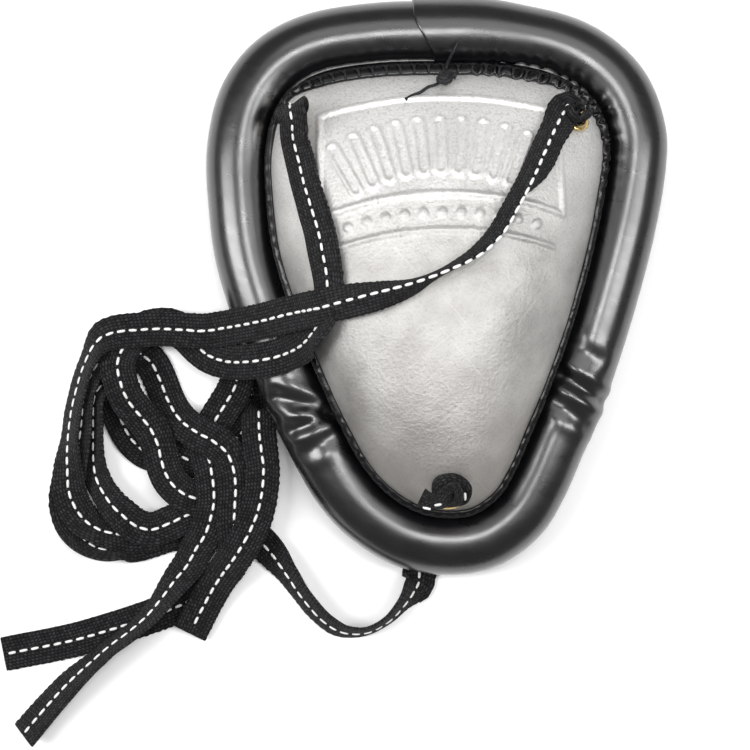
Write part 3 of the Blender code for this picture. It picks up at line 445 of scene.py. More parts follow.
# The webbing's yarns and the thread's twist, in millimetres.
YARN_WIDTH = 1.16
YARN_LENGTH = 1.45
YARN_LEAN = 0.42
TWIST_PITCH = 0.45


def cast_metal():
    """Satin cast metal: stippled, a little mottled, with fine scratches; painted light makes it lighter
    towards the top of the cup and painted shade darker towards the bottom.
    """
    mix = Recipe("cast_metal_finish", metallic=0.80)
    spot = mix.place()
    mottle = mix.noise(spot, 55, 4)
    stipple = mix.noise(spot, 1150, 4, 0.7)
    pits = mix.add("TexVoronoi", {"Vector": spot, "Scale": 620.0})
    swirl = mix.noise(spot, 210, 3)
    long_way = mix.noise(mix.stretched(spot, (1900, 26, 26), (0, 0, 0.9)), 1.0, 1)
    cross_way = mix.noise(mix.stretched(spot, (1500, 22, 22), (0, 0, -0.7)), 1.0, 1)
    scratch = mix.math("MAXIMUM", mix.ramp(long_way, 0.69, 0.74), mix.ramp(cross_way, 0.70, 0.75))
    shade = mix.mix(mix.ramp(mottle, 0.35, 0.68), (0.36, 0.351, 0.338), (0.53, 0.523, 0.508))
    # Painted light and shade: the colour grows lighter towards the top of the cup and darker towards the
    # bottom, as the light falls on it.
    painted_light_y = mix.add("SeparateXYZ", {0: spot}, output="Y")
    shade = mix.mix(mix.ramp(painted_light_y, 0.005, 0.055, 0.0, 0.85), shade, (0.84, 0.834, 0.822))
    shade = mix.mix(mix.ramp(painted_light_y, -0.085, -0.020, 0.65, 0.0), shade, (0.35, 0.322, 0.296))
    shade = mix.mix(mix.ramp(stipple, 0.28, 0.50, 0.45, 0.0), shade, (0.22, 0.213, 0.203))
    shade = mix.mix(mix.times(scratch, 0.09), shade, (0.93, 0.92, 0.90))
    rough = mix.plus(mix.ramp(mottle, 0.3, 0.7, 0.53, 0.61), mix.ramp(stipple, 0.3, 0.7, -0.04, 0.06))
    return mix.finish(shade, rough, [(swirl, 0.20, 0.0006), (pits, 0.35, 0.0003), (stipple, 0.75, 0.00034),
                                     (mix.math("SUBTRACT", 1.0, scratch), 0.1, 0.00004)])


def black_vinyl(name, coat, shine):
    """Black sheet vinyl with a fine grain and handling marks."""
    mix = Recipe(name, coat_weight=coat, coat_roughness=0.20, specular_ior_level=shine)
    spot = mix.place()
    soft = mix.noise(spot, 130, 4)
    grain = mix.add("TexVoronoi", {"Vector": spot, "Scale": 1900.0}, feature="SMOOTH_F1")
    smear = mix.noise(mix.stretched(spot, (90, 260, 90), (0, 0, 0.4)), 1.0, 3)
    shade = mix.mix(mix.ramp(soft, 0.3, 0.7), (0.0010, 0.0010, 0.0014), (0.0026, 0.0025, 0.0033))
    rough = mix.ramp(smear, 0.3, 0.72, 0.26, 0.34)
    return mix.finish(shade, rough, [(soft, 0.10, 0.0006), (grain, 0.16, 0.00010)])


def black_webbing():
    """Matte black woven tape: rows of fat yarns, staggered and leaning away from the middle, with fuzz; the
    yarn tops are painted lighter and the gaps near black as painted highlight and shade.
    """
    mix = Recipe("black_webbing_finish", roughness=0.85, sheen_weight=0.03, sheen_roughness=0.5,
                 specular_ior_level=0.18)
    across, along = mix.tape_place()
    wobble = mix.ramp(mix.noise(mix.place(), 700, 2), 0.2, 0.8, -0.22, 0.22)
    column = mix.math("DIVIDE", mix.plus(across, wobble), YARN_WIDTH)
    stagger = mix.times(mix.math("FLOOR", column), 0.5)
    lean = mix.times(mix.math("ABSOLUTE", across), YARN_LEAN)
    row = mix.plus(mix.math("DIVIDE", mix.plus(mix.plus(along, lean), wobble), YARN_LENGTH), stagger)
    ribs, picks = (mix.math("SINE", mix.times(mix.math("FRACT", turn), math.pi)) for turn in (column, row))
    weave = mix.math("SQRT", mix.times(ribs, picks))
    cell = mix.add("CombineXYZ", {0: mix.math("FLOOR", column), 1: mix.math("FLOOR", row)})
    own = mix.add("TexWhiteNoise", {"Vector": cell}, output="Value")
    painted_weave_and_tone = mix.times(weave, mix.plus(mix.times(own, 0.50), 0.50))
    fuzz = mix.noise(mix.place(), 2600, 2, 0.7)
    worn = mix.noise(mix.place(), 85, 3)
    # Painted highlight and shade: the yarn tops are lighter and the gaps between yarns near black, as light
    # and shade fall on the weave; each yarn's random tone is its own.
    shade = mix.mix(mix.ramp(painted_weave_and_tone, 0.25, 0.95), (0.0003, 0.0003, 0.0005), (0.0300, 0.0300, 0.0325))
    shade = mix.mix(mix.ramp(fuzz, 0.60, 0.85, 0.0, 0.25), shade, (0.028, 0.028, 0.031))
    shade = mix.mix(mix.ramp(worn, 0.50, 0.75, 0.0, 0.25), shade, (0.012, 0.011, 0.012))
    rough = mix.ramp(fuzz, 0.2, 0.8, 0.72, 0.95)
    return mix.finish(shade, rough, [(weave, 1.0, 0.00060), (fuzz, 0.50, 0.00015)])


def white_thread():
    """Off-white twisted sewing thread."""
    mix = Recipe("white_thread_finish", roughness=0.6, sheen_weight=0.25, specular_ior_level=0.35)
    across, along = mix.tape_place()
    twist = mix.math("SINE", mix.times(mix.plus(along, across), 2 * math.pi / TWIST_PITCH))
    grime = mix.noise(mix.place(), 240, 3)
    shade = mix.mix(mix.ramp(twist, -1.0, 0.6), (0.56, 0.56, 0.55), (0.86, 0.86, 0.84))
    shade = mix.mix(mix.ramp(grime, 0.5, 0.85, 0.0, 0.4), shade, (0.48, 0.46, 0.43))
    return mix.finish(shade, mix.ramp(grime, 0.2, 0.8, 0.5, 0.7), [(twist, 0.5, 0.00008)])


def black_cord():
    """Thin waxed black lacing cord."""
    mix = Recipe("black_cord_finish", roughness=0.5, specular_ior_level=0.25)
    spot = mix.place()
    strands = mix.noise(spot, 1500, 2)
    shade = mix.mix(mix.ramp(strands, 0.3, 0.7), (0.002, 0.002, 0.0025), (0.020, 0.020, 0.022))
    return mix.finish(shade, mix.ramp(strands, 0.3, 0.7, 0.38, 0.62), [(strands, 0.6, 0.0002)])


def plated(name, dull, bright, roughness):
    """Small bright metal fittings with handling marks."""
    mix = Recipe(name, metallic=1.0)
    spot = mix.place()
    marks = mix.noise(spot, 700, 3)
    shade = mix.mix(mix.ramp(marks, 0.35, 0.65), dull, bright)
    return mix.finish(shade, mix.ramp(marks, 0.3, 0.7, roughness, roughness + 0.14), [(marks, 0.2, 0.0001)])


def open_foam():
    """Dark open-cell foam."""
    mix = Recipe("grey_foam_finish", roughness=0.95)
    spot = mix.place()
    cells = mix.add("TexVoronoi", {"Vector": spot, "Scale": 1400.0})
    shade = mix.mix(mix.ramp(cells, 0.0, 0.7), (0.05, 0.05, 0.055), (0.14, 0.14, 0.15))
    return mix.finish(shade, mix.ramp(cells, 0.0, 0.7, 0.85, 1.0), [(cells, 0.9, 0.0005)])


def pale_floor():
    """A plain pale sweep with the faintest unevenness."""
    mix = Recipe("pale_floor_finish", roughness=0.7, specular_ior_level=0.2)
    haze = mix.noise(mix.place(), 9, 2)
    return mix.finish(mix.mix(haze, (0.88, 0.88, 0.88), (0.92, 0.92, 0.92)))


# --- Mesh helpers ---------------------------------------------------------------------------------


def grid_faces(rows, columns, close_rows=False, close_columns=False):
    """Quads joining a grid of vertices."""
    i = np.arange(rows if close_rows else rows - 1)[:, None]
    j = np.arange(columns if close_columns else columns - 1)[None, :]
    i_next, j_next = (i + 1) % rows, (j + 1) % columns
    corners = [i * columns + j, i * columns + j_next, i_next * columns + j_next, i_next * columns + j]
    return np.stack(np.broadcast_arrays(*corners), axis=-1).reshape(-1, 4)


def bar_faces(rows, columns):
    """The faces of a bar made of closed rings, with a face over each end."""
    ends = [list(range(columns))[::-1], list(range((rows - 1) * columns, rows * columns))]
    return grid_faces(rows, columns, close_columns=True).tolist() + ends


def make_piece(name, vertices, faces, material, node=None, uvs=None):
    """A smooth piece that rides on the body, in place of a CAD node; uvs are one pair for each vertex."""
    mesh = bpy.data.meshes.new(name)
    vertices = np.reshape(vertices, (-1, 3))
    mesh.from_pydata(vertices.tolist(), [], [list(map(int, face)) for face in faces])
    if uvs is not None:
        layer = mesh.uv_layers.new(name="UVMap")
        corners = np.zeros(len(mesh.loops), int)
        mesh.loops.foreach_get("vertex_index", corners)
        layer.data.foreach_set("uv", np.asarray(uvs, float)[corners].ravel())
    box = bmesh.new()
    box.from_mesh(mesh)
    bmesh.ops.recalc_face_normals(box, faces=box.faces)
    box.to_mesh(mesh)
    box.free()
    mesh.shade_smooth()
    mesh.materials.append(material)
    item = bpy.data.objects.new(name, mesh)
    bpy.context.scene.collection.objects.link(item)
    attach(item, "root")
    if node:
        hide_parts(node)
    return item


def tube_along(line, radius, sides=10, flat=1.0, turns=0.0):
    """Vertices, faces and UVs (in millimetres) of a round or oval bar along a line, with closed ends."""
    along = lengths_along(line)
    tangent = unit(np.gradient(line, axis=0))
    across = np.empty_like(tangent)
    side = np.cross(tangent[0], [0.3, 0.2, 1.0])
    for i, direction in enumerate(tangent):
        side = side - direction * side.dot(direction)
        across[i] = side = side / np.linalg.norm(side)
    other = np.cross(tangent, across)
    radius = np.broadcast_to(radius, len(line))
    angles = np.linspace(0, 2 * math.pi, sides, endpoint=False)
    spin = turns * 2 * math.pi * along / max(along[-1], 1e-9)
    rings = []
    for point, u, v, r, twist in zip(line, across, other, radius, spin):
        turned_u = u * math.cos(twist) + v * math.sin(twist)
        turned_v = v * math.cos(twist) - u * math.sin(twist)
        section = np.outer(np.cos(angles), turned_u) + flat * np.outer(np.sin(angles), turned_v)
        rings.append(point + r * section)
    vertices = np.vstack(rings)
    uvs = np.column_stack([np.tile(angles * 1000 * radius.mean(), len(line)), np.repeat(along * 1000, sides)])
    return vertices, bar_faces(len(line), sides), uvs


def merged(parts):
    """Several (vertices, faces, uvs) as one."""
    faces, start = [], 0
    for vertices, part_faces, _ in parts:
        faces += [[index + start for index in face] for face in part_faces]
        start += len(vertices)
    return np.vstack([part[0] for part in parts]), faces, np.vstack([part[2] for part in parts])


# --- The shell ------------------------------------------------------------------------------------

RELIEF_HEIGHT = 0.00095
RELIEF_EDGE = 0.00028
FRAME_HALF_WIDTH = 0.0415
FRAME_TOP = 0.0655
FRAME_BOTTOM = 0.0300
FRAME_LINE = 0.0007
TOP_ARCH = 3.4
BOTTOM_ARCH = 4.2
FAN_TURNS = np.radians(np.arange(-27.5, 28, 5.5))
FAN_CENTRE = np.array([0, -0.0240])
FAN_REACH = (0.0630, 0.0800)
FLUTE_HALF_WIDTHS = (0.0022, 0.0009)
STUD_COUNT = 11
STUD_PITCH = 0.0064
STUD_RADIUS = 0.0018
STUD_LINE = 0.0235
LIP_LINE = 0.0175
LIP_HALF_WIDTH = 0.0006
LIP_HALF_LENGTH = 0.0380
EYELET_HOLE = 0.0039


def segment_distance(x, y, a, b):
    """The distance in plan from points to a segment."""
    ax, ay = a
    bx, by = b
    length = (bx - ax) ** 2 + (by - ay) ** 2
    t = np.clip(((x - ax) * (bx - ax) + (y - ay) * (by - ay)) / length, 0, 1)
    return np.hypot(x - ax - t * (bx - ax), y - ay - t * (by - ay))


def raised(distance, half_width):
    """A flat-topped ridge with rounded shoulders around a line."""
    return 1 - smooth_step(distance, half_width, half_width + RELIEF_EDGE * 2)


def relief(x, y):
    """The front's cast relief: an arched frame, a fan of outlined flutes, and a row of round studs."""
    upper = FRAME_TOP - TOP_ARCH * x ** 2
    lower = FRAME_BOTTOM - BOTTOM_ARCH * x ** 2
    between = raised(y - upper, 0) * raised(lower - y, 0)
    in_width = raised(np.abs(x) - FRAME_HALF_WIDTH, 0)
    border = np.maximum.reduce([
        raised(np.abs(y - upper), FRAME_LINE) * in_width,
        raised(np.abs(y - lower), FRAME_LINE) * in_width,
        raised(np.abs(np.abs(x) - FRAME_HALF_WIDTH), FRAME_LINE) * between,
    ])
    flutes = np.zeros_like(x)
    wide, narrow = FLUTE_HALF_WIDTHS
    for turn in FAN_TURNS:
        way = np.array([math.sin(turn), math.cos(turn)])
        gap = segment_distance(x, y, *(FAN_CENTRE + way * reach for reach in FAN_REACH))
        flutes = np.maximum(flutes, raised(gap, wide) - 0.8 * raised(gap, narrow))
    studs = np.zeros_like(x)
    for middle in (np.arange(STUD_COUNT) - STUD_COUNT // 2) * STUD_PITCH:
        gap = np.hypot(x - middle, y - (STUD_LINE - BOTTOM_ARCH * middle ** 2))
        studs = np.maximum(studs, np.sqrt(np.clip(1 - (gap / STUD_RADIUS) ** 2, 0, 1)))
    lip = raised(np.abs(y - (LIP_LINE - BOTTOM_ARCH * x ** 2)), LIP_HALF_WIDTH)
    lip = lip * raised(np.abs(x) - LIP_HALF_LENGTH, 0)
    return RELIEF_HEIGHT * (border + 0.9 * flutes + 0.12 * in_width * between + 0.9 * studs + 0.8 * lip)


def build_shell(material):
    """The cast cup, finely divided, with its eyelet holes and relief."""
    count = 480
    around = np.linspace(0, RIM_LENGTH, count, endpoint=False)
    _, normal = rim_frames(around)
    out = np.column_stack([-normal * math.sin(SLOT_ANGLE), np.full(count, math.cos(SLOT_ANGLE))])
    outside, inside = [], []
    for inward in (0.0003, 0.0040, 0.0080, 0.0112):
        edge = rim_points(around, np.full(count, inward), RIM_CENTRE_HEIGHT + inward * math.tan(SLOT_ANGLE))
        outside.append(edge + out * HALF_SHELL)
        inside.append(edge - out * HALF_SHELL)
    for share in np.cos(np.linspace(0.045, 0.998, 165) * math.pi / 2):
        middle = shell_points(around, np.full(count, share), 0.0)
        x, y, _ = middle.T
        normal = dome_normal(x, y)
        unevenness = 0.00012 * np.sin(x * 210 + 1.3) * np.sin(y * 170 + 0.4)
        lift = (relief(x, y) + unevenness) * smooth_step(share, 0.0, 0.05)
        outside.append(middle + normal * (HALF_SHELL + lift)[:, None])
        inside.append(middle - normal * HALF_SHELL)
    centre = np.array([*SHELL_CENTRE, float(dome_height(*SHELL_CENTRE))])
    tips = [[centre + (0, 0, HALF_SHELL)], [centre - (0, 0, HALF_SHELL)]]
    vertices = np.vstack(outside + inside[::-1] + tips)
    half = len(outside)
    side = grid_faces(half, count, close_columns=True)
    faces = side.tolist() + (side + half * count).tolist()
    last = (2 * half - 1) * count
    for j in range(count):
        k = (j + 1) % count
        faces.append([j, k, last + k, last + j])
        faces.append([(half - 1) * count + j, (half - 1) * count + k, len(vertices) - 2])
        faces.append([half * count + j, half * count + k, len(vertices) - 1])
    faces = open_holes(vertices, faces)
    make_piece("cup_shell_cast", vertices, faces, material, "cup_shell")


def open_holes(vertices, faces):
    """Leaves out the faces inside each eyelet's hole and draws the rest up to its round edge."""
    gone = np.zeros(len(vertices), bool)
    for side in EYELETS:
        place, axis = eyelet_frame(side)
        offset = vertices - place
        height = offset @ axis
        flat = offset - height[:, None] * axis
        radius = np.linalg.norm(flat, axis=1)
        near = np.abs(height) < 0.006
        gone |= near & (radius < EYELET_HOLE - 0.0003)
        rim = near & (radius >= EYELET_HOLE - 0.0003) & (radius < EYELET_HOLE + 0.0002)
        vertices[rim] += flat[rim] * (EYELET_HOLE / radius[rim] - 1)[:, None]
    return [face for face in faces if not gone[face].all()]


# --- The padded rim -------------------------------------------------------------------------------

# Creases in the sleeve: plan start, plan end, width and depth.
CREASES = [
    ((-0.0600, -0.0385), (-0.0430, -0.0432), 0.0025, 0.00110),
    ((-0.0540, -0.0505), (-0.0405, -0.0455), 0.0022, 0.00085),
    ((-0.0500, -0.0590), (-0.0415, -0.0545), 0.0026, 0.00045),
    ((0.0435, -0.0330), (0.0575, -0.0420), 0.0023, 0.00130),
    ((0.0415, -0.0435), (0.0520, -0.0505), 0.0026, 0.00065),
    ((0.0485, -0.0225), (0.0560, -0.0270), 0.0026, 0.00040),
]
# How far the slit's lips turn in, and the over end's turned edge: steps back along the rim and inwards.
LIP_DEPTHS = (0.0014, 0.0034)
TURNED_EDGE = [
    (-0.0003, 0.0003), (-0.0003, 0.0007), (0.0000, 0.0010), (0.0012, 0.0011), (0.0040, 0.0010),
]

GATHER_PITCH = 0.0062
GATHER_HEIGHT = 0.00034


def gather(distances):
    """The phase of the small gathers that the drawcord pulls into the sleeve's edges."""
    return distances / GATHER_PITCH + 0.45 * soft_noise(distances / 0.045, 5)


def drawn_in(here):
    """How tightly the drawcord has gathered the edges: most at the upper right, hardly elsewhere."""
    return 0.12 + 0.88 * smooth_step(here[:, 0], 0.004, 0.022) * smooth_step(here[:, 1], 0.020, 0.060)


def cover_surface(distances, angles, rise, over_end):
    """The sleeve's surface: distances round the rim by angles round its section."""
    here, normal = rim_frames(distances)
    d = distances[:, None]
    a = angles[None, :]
    radius = COVER_RADIUS + rise[:, None] + np.zeros_like(a)
    slack = 0.00010 * soft_noise(d / 0.060 + 0.3 * np.sin(a), 3, 2)
    from_slot = np.minimum(a - angles[0], angles[-1] - a)
    pucker = drawn_in(here)[:, None] * np.sin(2 * math.pi * gather(d) + 0.9 * np.sin(3 * a))
    pucker = GATHER_HEIGHT * pucker * np.exp(-(from_slot / 0.34) ** 2)
    x, y, fold = np.moveaxis(rows_round(here, normal, radius * np.cos(a), np.zeros_like(radius)), -1, 0)
    for start, stop, width, depth in CREASES:
        gap = segment_distance(x, y, start, stop)
        fold = fold + depth * (0.55 * bell(gap, width * 1.9, width) - bell(gap, 0, width))
    radius = radius + slack + pucker + fold * smooth_step(np.sin(a), -0.2, 0.3)
    low = underside(distances, over_end)[:, None]
    above = RIM_CENTRE_HEIGHT + radius * np.sin(a) - low
    return rows_round(here, normal, radius * np.cos(a), low + 0.5 * (above + np.hypot(above, 0.0007)))


def round_angles(radius, count):
    """Angles round a section, from the front lip of the slit round to the rear lip."""
    half = math.asin(SLOT_HALF_WIDTH / radius)
    return np.linspace(SLOT_ANGLE + half, SLOT_ANGLE - half + 2 * math.pi, count)


def lap_slant(angles):
    """How much longer the over end is at each angle: longest on the outer side."""
    return 0.0006 - 0.0082 * (1 - smooth_step(angles, 0.5, 2.1))


def build_cover(material):
    """The sleeve, starting under its own lap and ending over it in a turned edge, with turned-in lips."""
    angles = round_angles(COVER_RADIUS, 84)
    start, end = -LAP_UNDER, RIM_LENGTH + LAP_OVER
    distances = np.linspace(start, end, 900)
    longer = np.append(distances, np.linspace(end, end + 0.0015, 12)[1:])
    rise = LAP_RISE * smooth_step(longer, end - LAP_TAPER, end - LAP_UNDER - LAP_OVER)
    surface = cover_surface(longer, angles, rise, longer > RIM_LENGTH / 2)
    wanted = distances[:, None] + smooth_step(distances, end - 0.030, end)[:, None] * lap_slant(angles)
    slanted = np.stack([at_lengths(surface[:, j], longer, wanted[:, j]) for j in range(len(angles))], axis=1)
    middle = rim_points(distances, 0.0, RIM_CENTRE_HEIGHT)[:, None]
    towards = unit(middle - slanted)
    front = [slanted[:, :1] + towards[:, :1] * depth for depth in LIP_DEPTHS[::-1]]
    rear = [slanted[:, -1:] + towards[:, -1:] * depth for depth in LIP_DEPTHS]
    body = np.concatenate([*front, slanted, *rear], axis=1)
    edge = body[-1]
    back = unit(body[-4] - edge)
    inwards = unit(middle[-1] - edge)
    rows = np.concatenate([body, [edge + back * step + inwards * depth for step, depth in TURNED_EDGE]])
    faces = grid_faces(*rows.shape[:2])
    item = make_piece("rim_cover_vinyl", rows, faces, material, "rim_cover")


def build_foam(material):
    """The slit foam bar inside the sleeve."""
    distances = np.linspace(0.0004, RIM_LENGTH - 0.0004, 320)
    angles = round_angles(FOAM_RADIUS, 36)
    here, normal = rim_frames(distances)
    low = underside(distances, False)[:, None] + COVER_WALL + 0.0004
    direction = np.array([math.cos(SLOT_ANGLE), math.sin(SLOT_ANGLE)])
    across = np.array([-direction[1], direction[0]]) * SLOT_HALF_WIDTH
    root = np.array([0, RIM_CENTRE_HEIGHT]) + direction * SLOT_DEPTH
    ends = np.array([root - across, root + across])
    height = np.maximum(RIM_CENTRE_HEIGHT + FOAM_RADIUS * np.sin(angles), low)
    height = np.hstack([height, np.tile(ends[:, 1], (len(distances), 1))])
    inward = np.tile(np.append(FOAM_RADIUS * np.cos(angles), ends[:, 0]), (len(distances), 1))
    rows = rows_round(here, normal, inward, height)
    item = make_piece("rim_foam_core", rows, bar_faces(*rows.shape[:2]), material, "rim_foam")


# --- The gathered hems and their drawcord ---------------------------------------------------------

LACING_PITCH = 0.0056
CORD_RADIUS = 0.00058


def hem_reach(distances):
    """How far in a hem reaches, as a share of the way out; widest across the top."""
    here, _ = rim_frames(distances)
    right = smooth_step(here[:, 0], 0.0, 0.050) * smooth_step(here[:, 1], 0.0, 0.04)
    side = HEM_SIDE + (HEM_INNER - HEM_SIDE) * right
    return side + (HEM_INNER_TOP - side) * smooth_step(here[:, 1], 0.0750, 0.0920)


def build_hem(name, node, way, material):
    """The sleeve's gathered edge on one face of the shell: a cord tunnel that ripples as it is drawn in."""
    distances = np.linspace(0, RIM_LENGTH, 1500, endpoint=False)
    reach = hem_reach(distances)
    here, _ = rim_frames(distances)
    phase = 2 * math.pi * gather(distances)
    busy = drawn_in(here)
    ripple = (np.sin(phase) * busy)[:, None]
    finer = (np.sin(phase * 1.63 + 1.1) * busy)[:, None]
    steps = np.linspace(0, 1, 15)
    shell_share = 1 + (reach - 1)[:, None] * steps + 0.004 * ripple * smooth_step(steps, 0.5, 1.0)
    height = 0.0006 + 0.0017 * np.sin(np.pi * np.clip((steps - 0.25) / 0.75, 0, 1)) ** 0.8
    height = height + 0.00045 * ripple * smooth_step(steps, 0.0, 0.6)
    height = np.maximum(height + 0.00022 * finer * smooth_step(steps, 0.2, 1.0), 0.00035)
    thin = np.full_like(height, 0.00012)
    top, under = ([shell_points(distances, share, way * (HALF_SHELL + lift))
                   for share, lift in zip(shell_share.T, lifts.T)] for lifts in (height, thin))
    rows = np.stack(top + under[::-1], axis=1)
    faces = grid_faces(*rows.shape[:2], close_rows=True, close_columns=True)
    make_piece(name, rows, faces, material, node)


def build_lacing(name, node, way, material):
    """The drawcord, sewn over and over along a hem."""
    turns = int(RIM_LENGTH / LACING_PITCH)
    count = turns * 12
    distances = np.linspace(0, RIM_LENGTH, count, endpoint=False)
    phase = np.linspace(0, 2 * math.pi * turns, count, endpoint=False)
    reach = hem_reach(distances)
    swing = 0.5 + 0.5 * np.cos(phase)
    loose = smooth_step(rim_frames(distances)[0][:, 1], 0.055, 0.085)
    share = reach - 0.006 * loose + (0.985 - reach) * 0.75 * swing + 0.003 * (1 - loose)
    height = 0.0012 + (0.0008 + 0.0011 * loose) * np.sin(np.pi * np.clip(swing * 0.85 + 0.12, 0, 1))
    shift = 0.0011 * loose * np.sin(phase)
    line = shell_points(distances + shift, share, way * (HALF_SHELL + height))
    radius = 0.00026 + 0.00022 * np.append(loose, loose[0])
    vertices, faces, uvs = tube_along(np.vstack([line, line[:1]]), radius, sides=7)
    make_piece(name, vertices, faces, material, node, uvs)


def build_drawcord_ends(material):
    """The drawcord's knot below the lap and its two loose ends."""
    base = np.array([0.0029, 0.0705])
    out = dome_normal(*base)
    middle = [*base, float(dome_height(*base))] + out * 0.0036
    knot = knot_shape(middle, out, scale=0.40, radius=0.00125, flat=1.0, turns=0.5)
    plan = curve_points([(0.0022, 0.0712), (-0.0008, 0.0693), (-0.0034, 0.0684), (-0.0060, 0.0668),
                         (-0.0090, 0.0658), (-0.0116, 0.0643)], closed=False)
    x, y = plan.T
    lift = 0.0022 + 0.0004 * np.sin(np.linspace(0, 5, len(plan)))
    line = np.column_stack([plan, dome_height(x, y)]) + dome_normal(x, y) * lift[:, None]
    frayed = CORD_RADIUS + 0.00012 * smooth_step(np.linspace(0, 1, len(line)), 0.9, 1.0)
    short = curve_points([(0.0030, 0.0745, 0.0318), (0.0035, 0.0776, 0.0300), (0.0046, 0.0806, 0.0272),
                          (0.0062, 0.0838, 0.0258), (0.0080, 0.0868, 0.0266)], closed=False)
    shapes = {("drawcord_overhand_knot", "drawcord_knot"): knot,
              ("drawcord_long_end", "drawcord_tail"): tube_along(line, frayed, sides=8),
              ("drawcord_short_end", "drawcord_short_tail"): tube_along(short, CORD_RADIUS, sides=8)}
    for (name, node), (vertices, faces, uvs, *_) in shapes.items():
        make_piece(name, vertices, faces, material, node, uvs)


# --- Eyelets --------------------------------------------------------------------------------------

# A grommet's section: radius and height above the shell's middle surface.
EYELET_SECTION = [
    (0.0031, -0.0038), (0.0035, -0.0042), (0.0041, -0.0041), (0.0044, -0.0037), (0.0041, -0.0033),
    (0.0036, -0.0032), (0.0036, 0.0016), (0.0050, 0.0015), (0.0054, 0.0016), (0.0055, 0.0019),
    (0.0052, 0.0023), (0.0046, 0.0025), (0.0039, 0.0025), (0.0034, 0.0022), (0.0031, 0.0016),
]


def build_eyelet(side, material):
    """A rolled brass grommet."""
    place, axis = eyelet_frame(side)
    profile = curve_points(EYELET_SECTION, closed=True, per_span=4)[:-1]
    turn = Vector(axis).to_track_quat("Z", "Y").to_matrix()
    angles = np.linspace(0, 2 * math.pi, 64, endpoint=False)
    ring = np.outer(np.cos(angles), turn.col[0]) + np.outer(np.sin(angles), turn.col[1])
    rows = np.stack([place + ring * radius + axis * height for radius, height in profile], axis=1)
    faces = grid_faces(*rows.shape[:2], close_rows=True, close_columns=True)
    make_piece(side + "_brass_eyelet", rows, faces, material, side + "_eyelet")


# --- Straps and knots -----------------------------------------------------------------------------

STRAP_STEP = 0.0006
# A tape is rolled up in its eyelet, by this turn in radians, and opens out over this stretch.
EYELET_CURL = 5.0
EYELET_SPREAD = (0.0105, 0.0290)
EDGE_PITCH = 0.00244
STITCH_START = 0.0120
STITCH_SINK = 0.00005
STITCH_PITCH = 0.0043
STITCH_LENGTH = 0.0031
STITCH_WIDTH = 0.00108
# Further roll in degrees, by distance: the right strap's free end turns on edge, then lies half open.
TWISTS = {"right": [(0.5090, 0), (0.5240, -12), (0.5320, -26), (0.5400, -34), (0.5490, -31), (0.5580, -21),
                    (0.5680, -17), (0.5800, -25), (0.5930, -34), (0.6050, -36)]}
# How far the tape is folded lengthwise, by distance: 0 is flat and 1 is folded in half.
FOLDS = {"right": [(0.0160, 0.0), (0.0300, 0.5), (0.0440, 0.5), (0.0660, 1.0), (0.1060, 1.0),
                   (0.1320, 0.40), (0.1660, 0.0)]}
NO_FOLD = [(0.0, 0.0)]
FOLD_BLUR = 15
FOLD_BEND = math.radians(166)
FOLD_LEAN = math.radians(46)
# Where the folded tape stands nearly on edge: the middle, the width, and the further lean.
FOLD_STAND = (0.1080, 0.0170, math.radians(30))
FOLD_GAP = 0.0022


def strap_course(side, start, route):
    """A strap's middle line and, at each point, its distance, its directions and how far it is folded."""
    place, axis = eyelet_frame(side)
    lead_end = STRAP_LEAD if start < 0 else -STRAP_LEAD
    lead = [(*(place + axis * height), 0.0) for height in (start, start / 2, 0, lead_end / 2, lead_end)]
    line = curve_points(lead + route, closed=False)
    along = lengths_along(line)
    distances = np.linspace(0, along[-1], int(along[-1] / STRAP_STEP) + 1)
    spots = at_lengths(line, along, distances)
    if side in TWISTS:
        level = np.abs(np.sin(np.radians(spots[:, 3])))
        spots[:, 3] += np.interp(distances, *zip(*TWISTS[side]))
        spots[:, 2] += STRAP_WIDTH / 2 * (np.abs(np.sin(np.radians(spots[:, 3]))) - level)
    folded = np.interp(distances, *zip(*FOLDS.get(side, NO_FOLD)))
    folded = np.convolve(folded, np.ones(FOLD_BLUR) / FOLD_BLUR, "same")
    near = smooth_step(folded, 0, 0.35)
    middle, width, more = FOLD_STAND
    lean = FOLD_LEAN * smooth_step(folded, 0, 0.5) + more * bell(distances, middle, width)
    x, y = spots[:, 0], spots[:, 1]
    drop = STRAP_WIDTH / 2 * np.maximum(np.sin(lean), np.sin(folded * FOLD_BEND - lean))
    outward = dome_normal(x, y)
    rest = dome_height(x, y) + (HALF_SHELL + FOLD_GAP + drop) / np.maximum(outward[:, 2], 0.5)
    spots[:, 2] = spots[:, 2] * (1 - near) + rest * near
    forward = unit(np.gradient(spots[:, :3], axis=0))
    level_way = unit(np.cross(forward, [0, 0, 1.0]))
    for i in range(len(level_way) - 2, -1, -1):
        if level_way[i] @ level_way[i + 1] < 0:
            level_way[i] = -level_way[i]
    roll = np.radians(spots[:, 3] + 1.6 * soft_noise(distances / 0.05, len(route)))[:, None]
    across = level_way * np.cos(roll) + np.cross(level_way, forward) * np.sin(roll)
    flat = unit(np.cross(forward, outward))
    flat = np.where((flat * level_way).sum(axis=1, keepdims=True) < 0, -flat, flat)
    flat = flat * np.cos(lean)[:, None] - outward * np.sin(lean)[:, None]
    across = unit(across * (1 - near)[:, None] + flat * near[:, None])
    return spots[:, :3], distances, forward, across, np.cross(across, forward), folded


def strap_sections(spread, folded, count=17):
    """Across and upward offsets of the tape's middle layer: rolled where narrow, bent where folded."""
    a = np.linspace(-1, 1, count)[None, :]
    curl = (EYELET_CURL * (1 - spread) + 1e-3)[:, None]
    bend = (folded * FOLD_BEND)[:, None]
    left = np.minimum(a, 0)
    rolled = STRAP_WIDTH / curl * np.stack([np.sin(a * curl / 2), 1 - np.cos(a * curl / 2)])
    bent = STRAP_WIDTH / 2 * np.stack([np.maximum(a, 0) + left * np.cos(bend), left * np.sin(bend)])
    share = smooth_step(folded, 0.0, 0.3)[:, None]
    return rolled * (1 - share) + bent * share


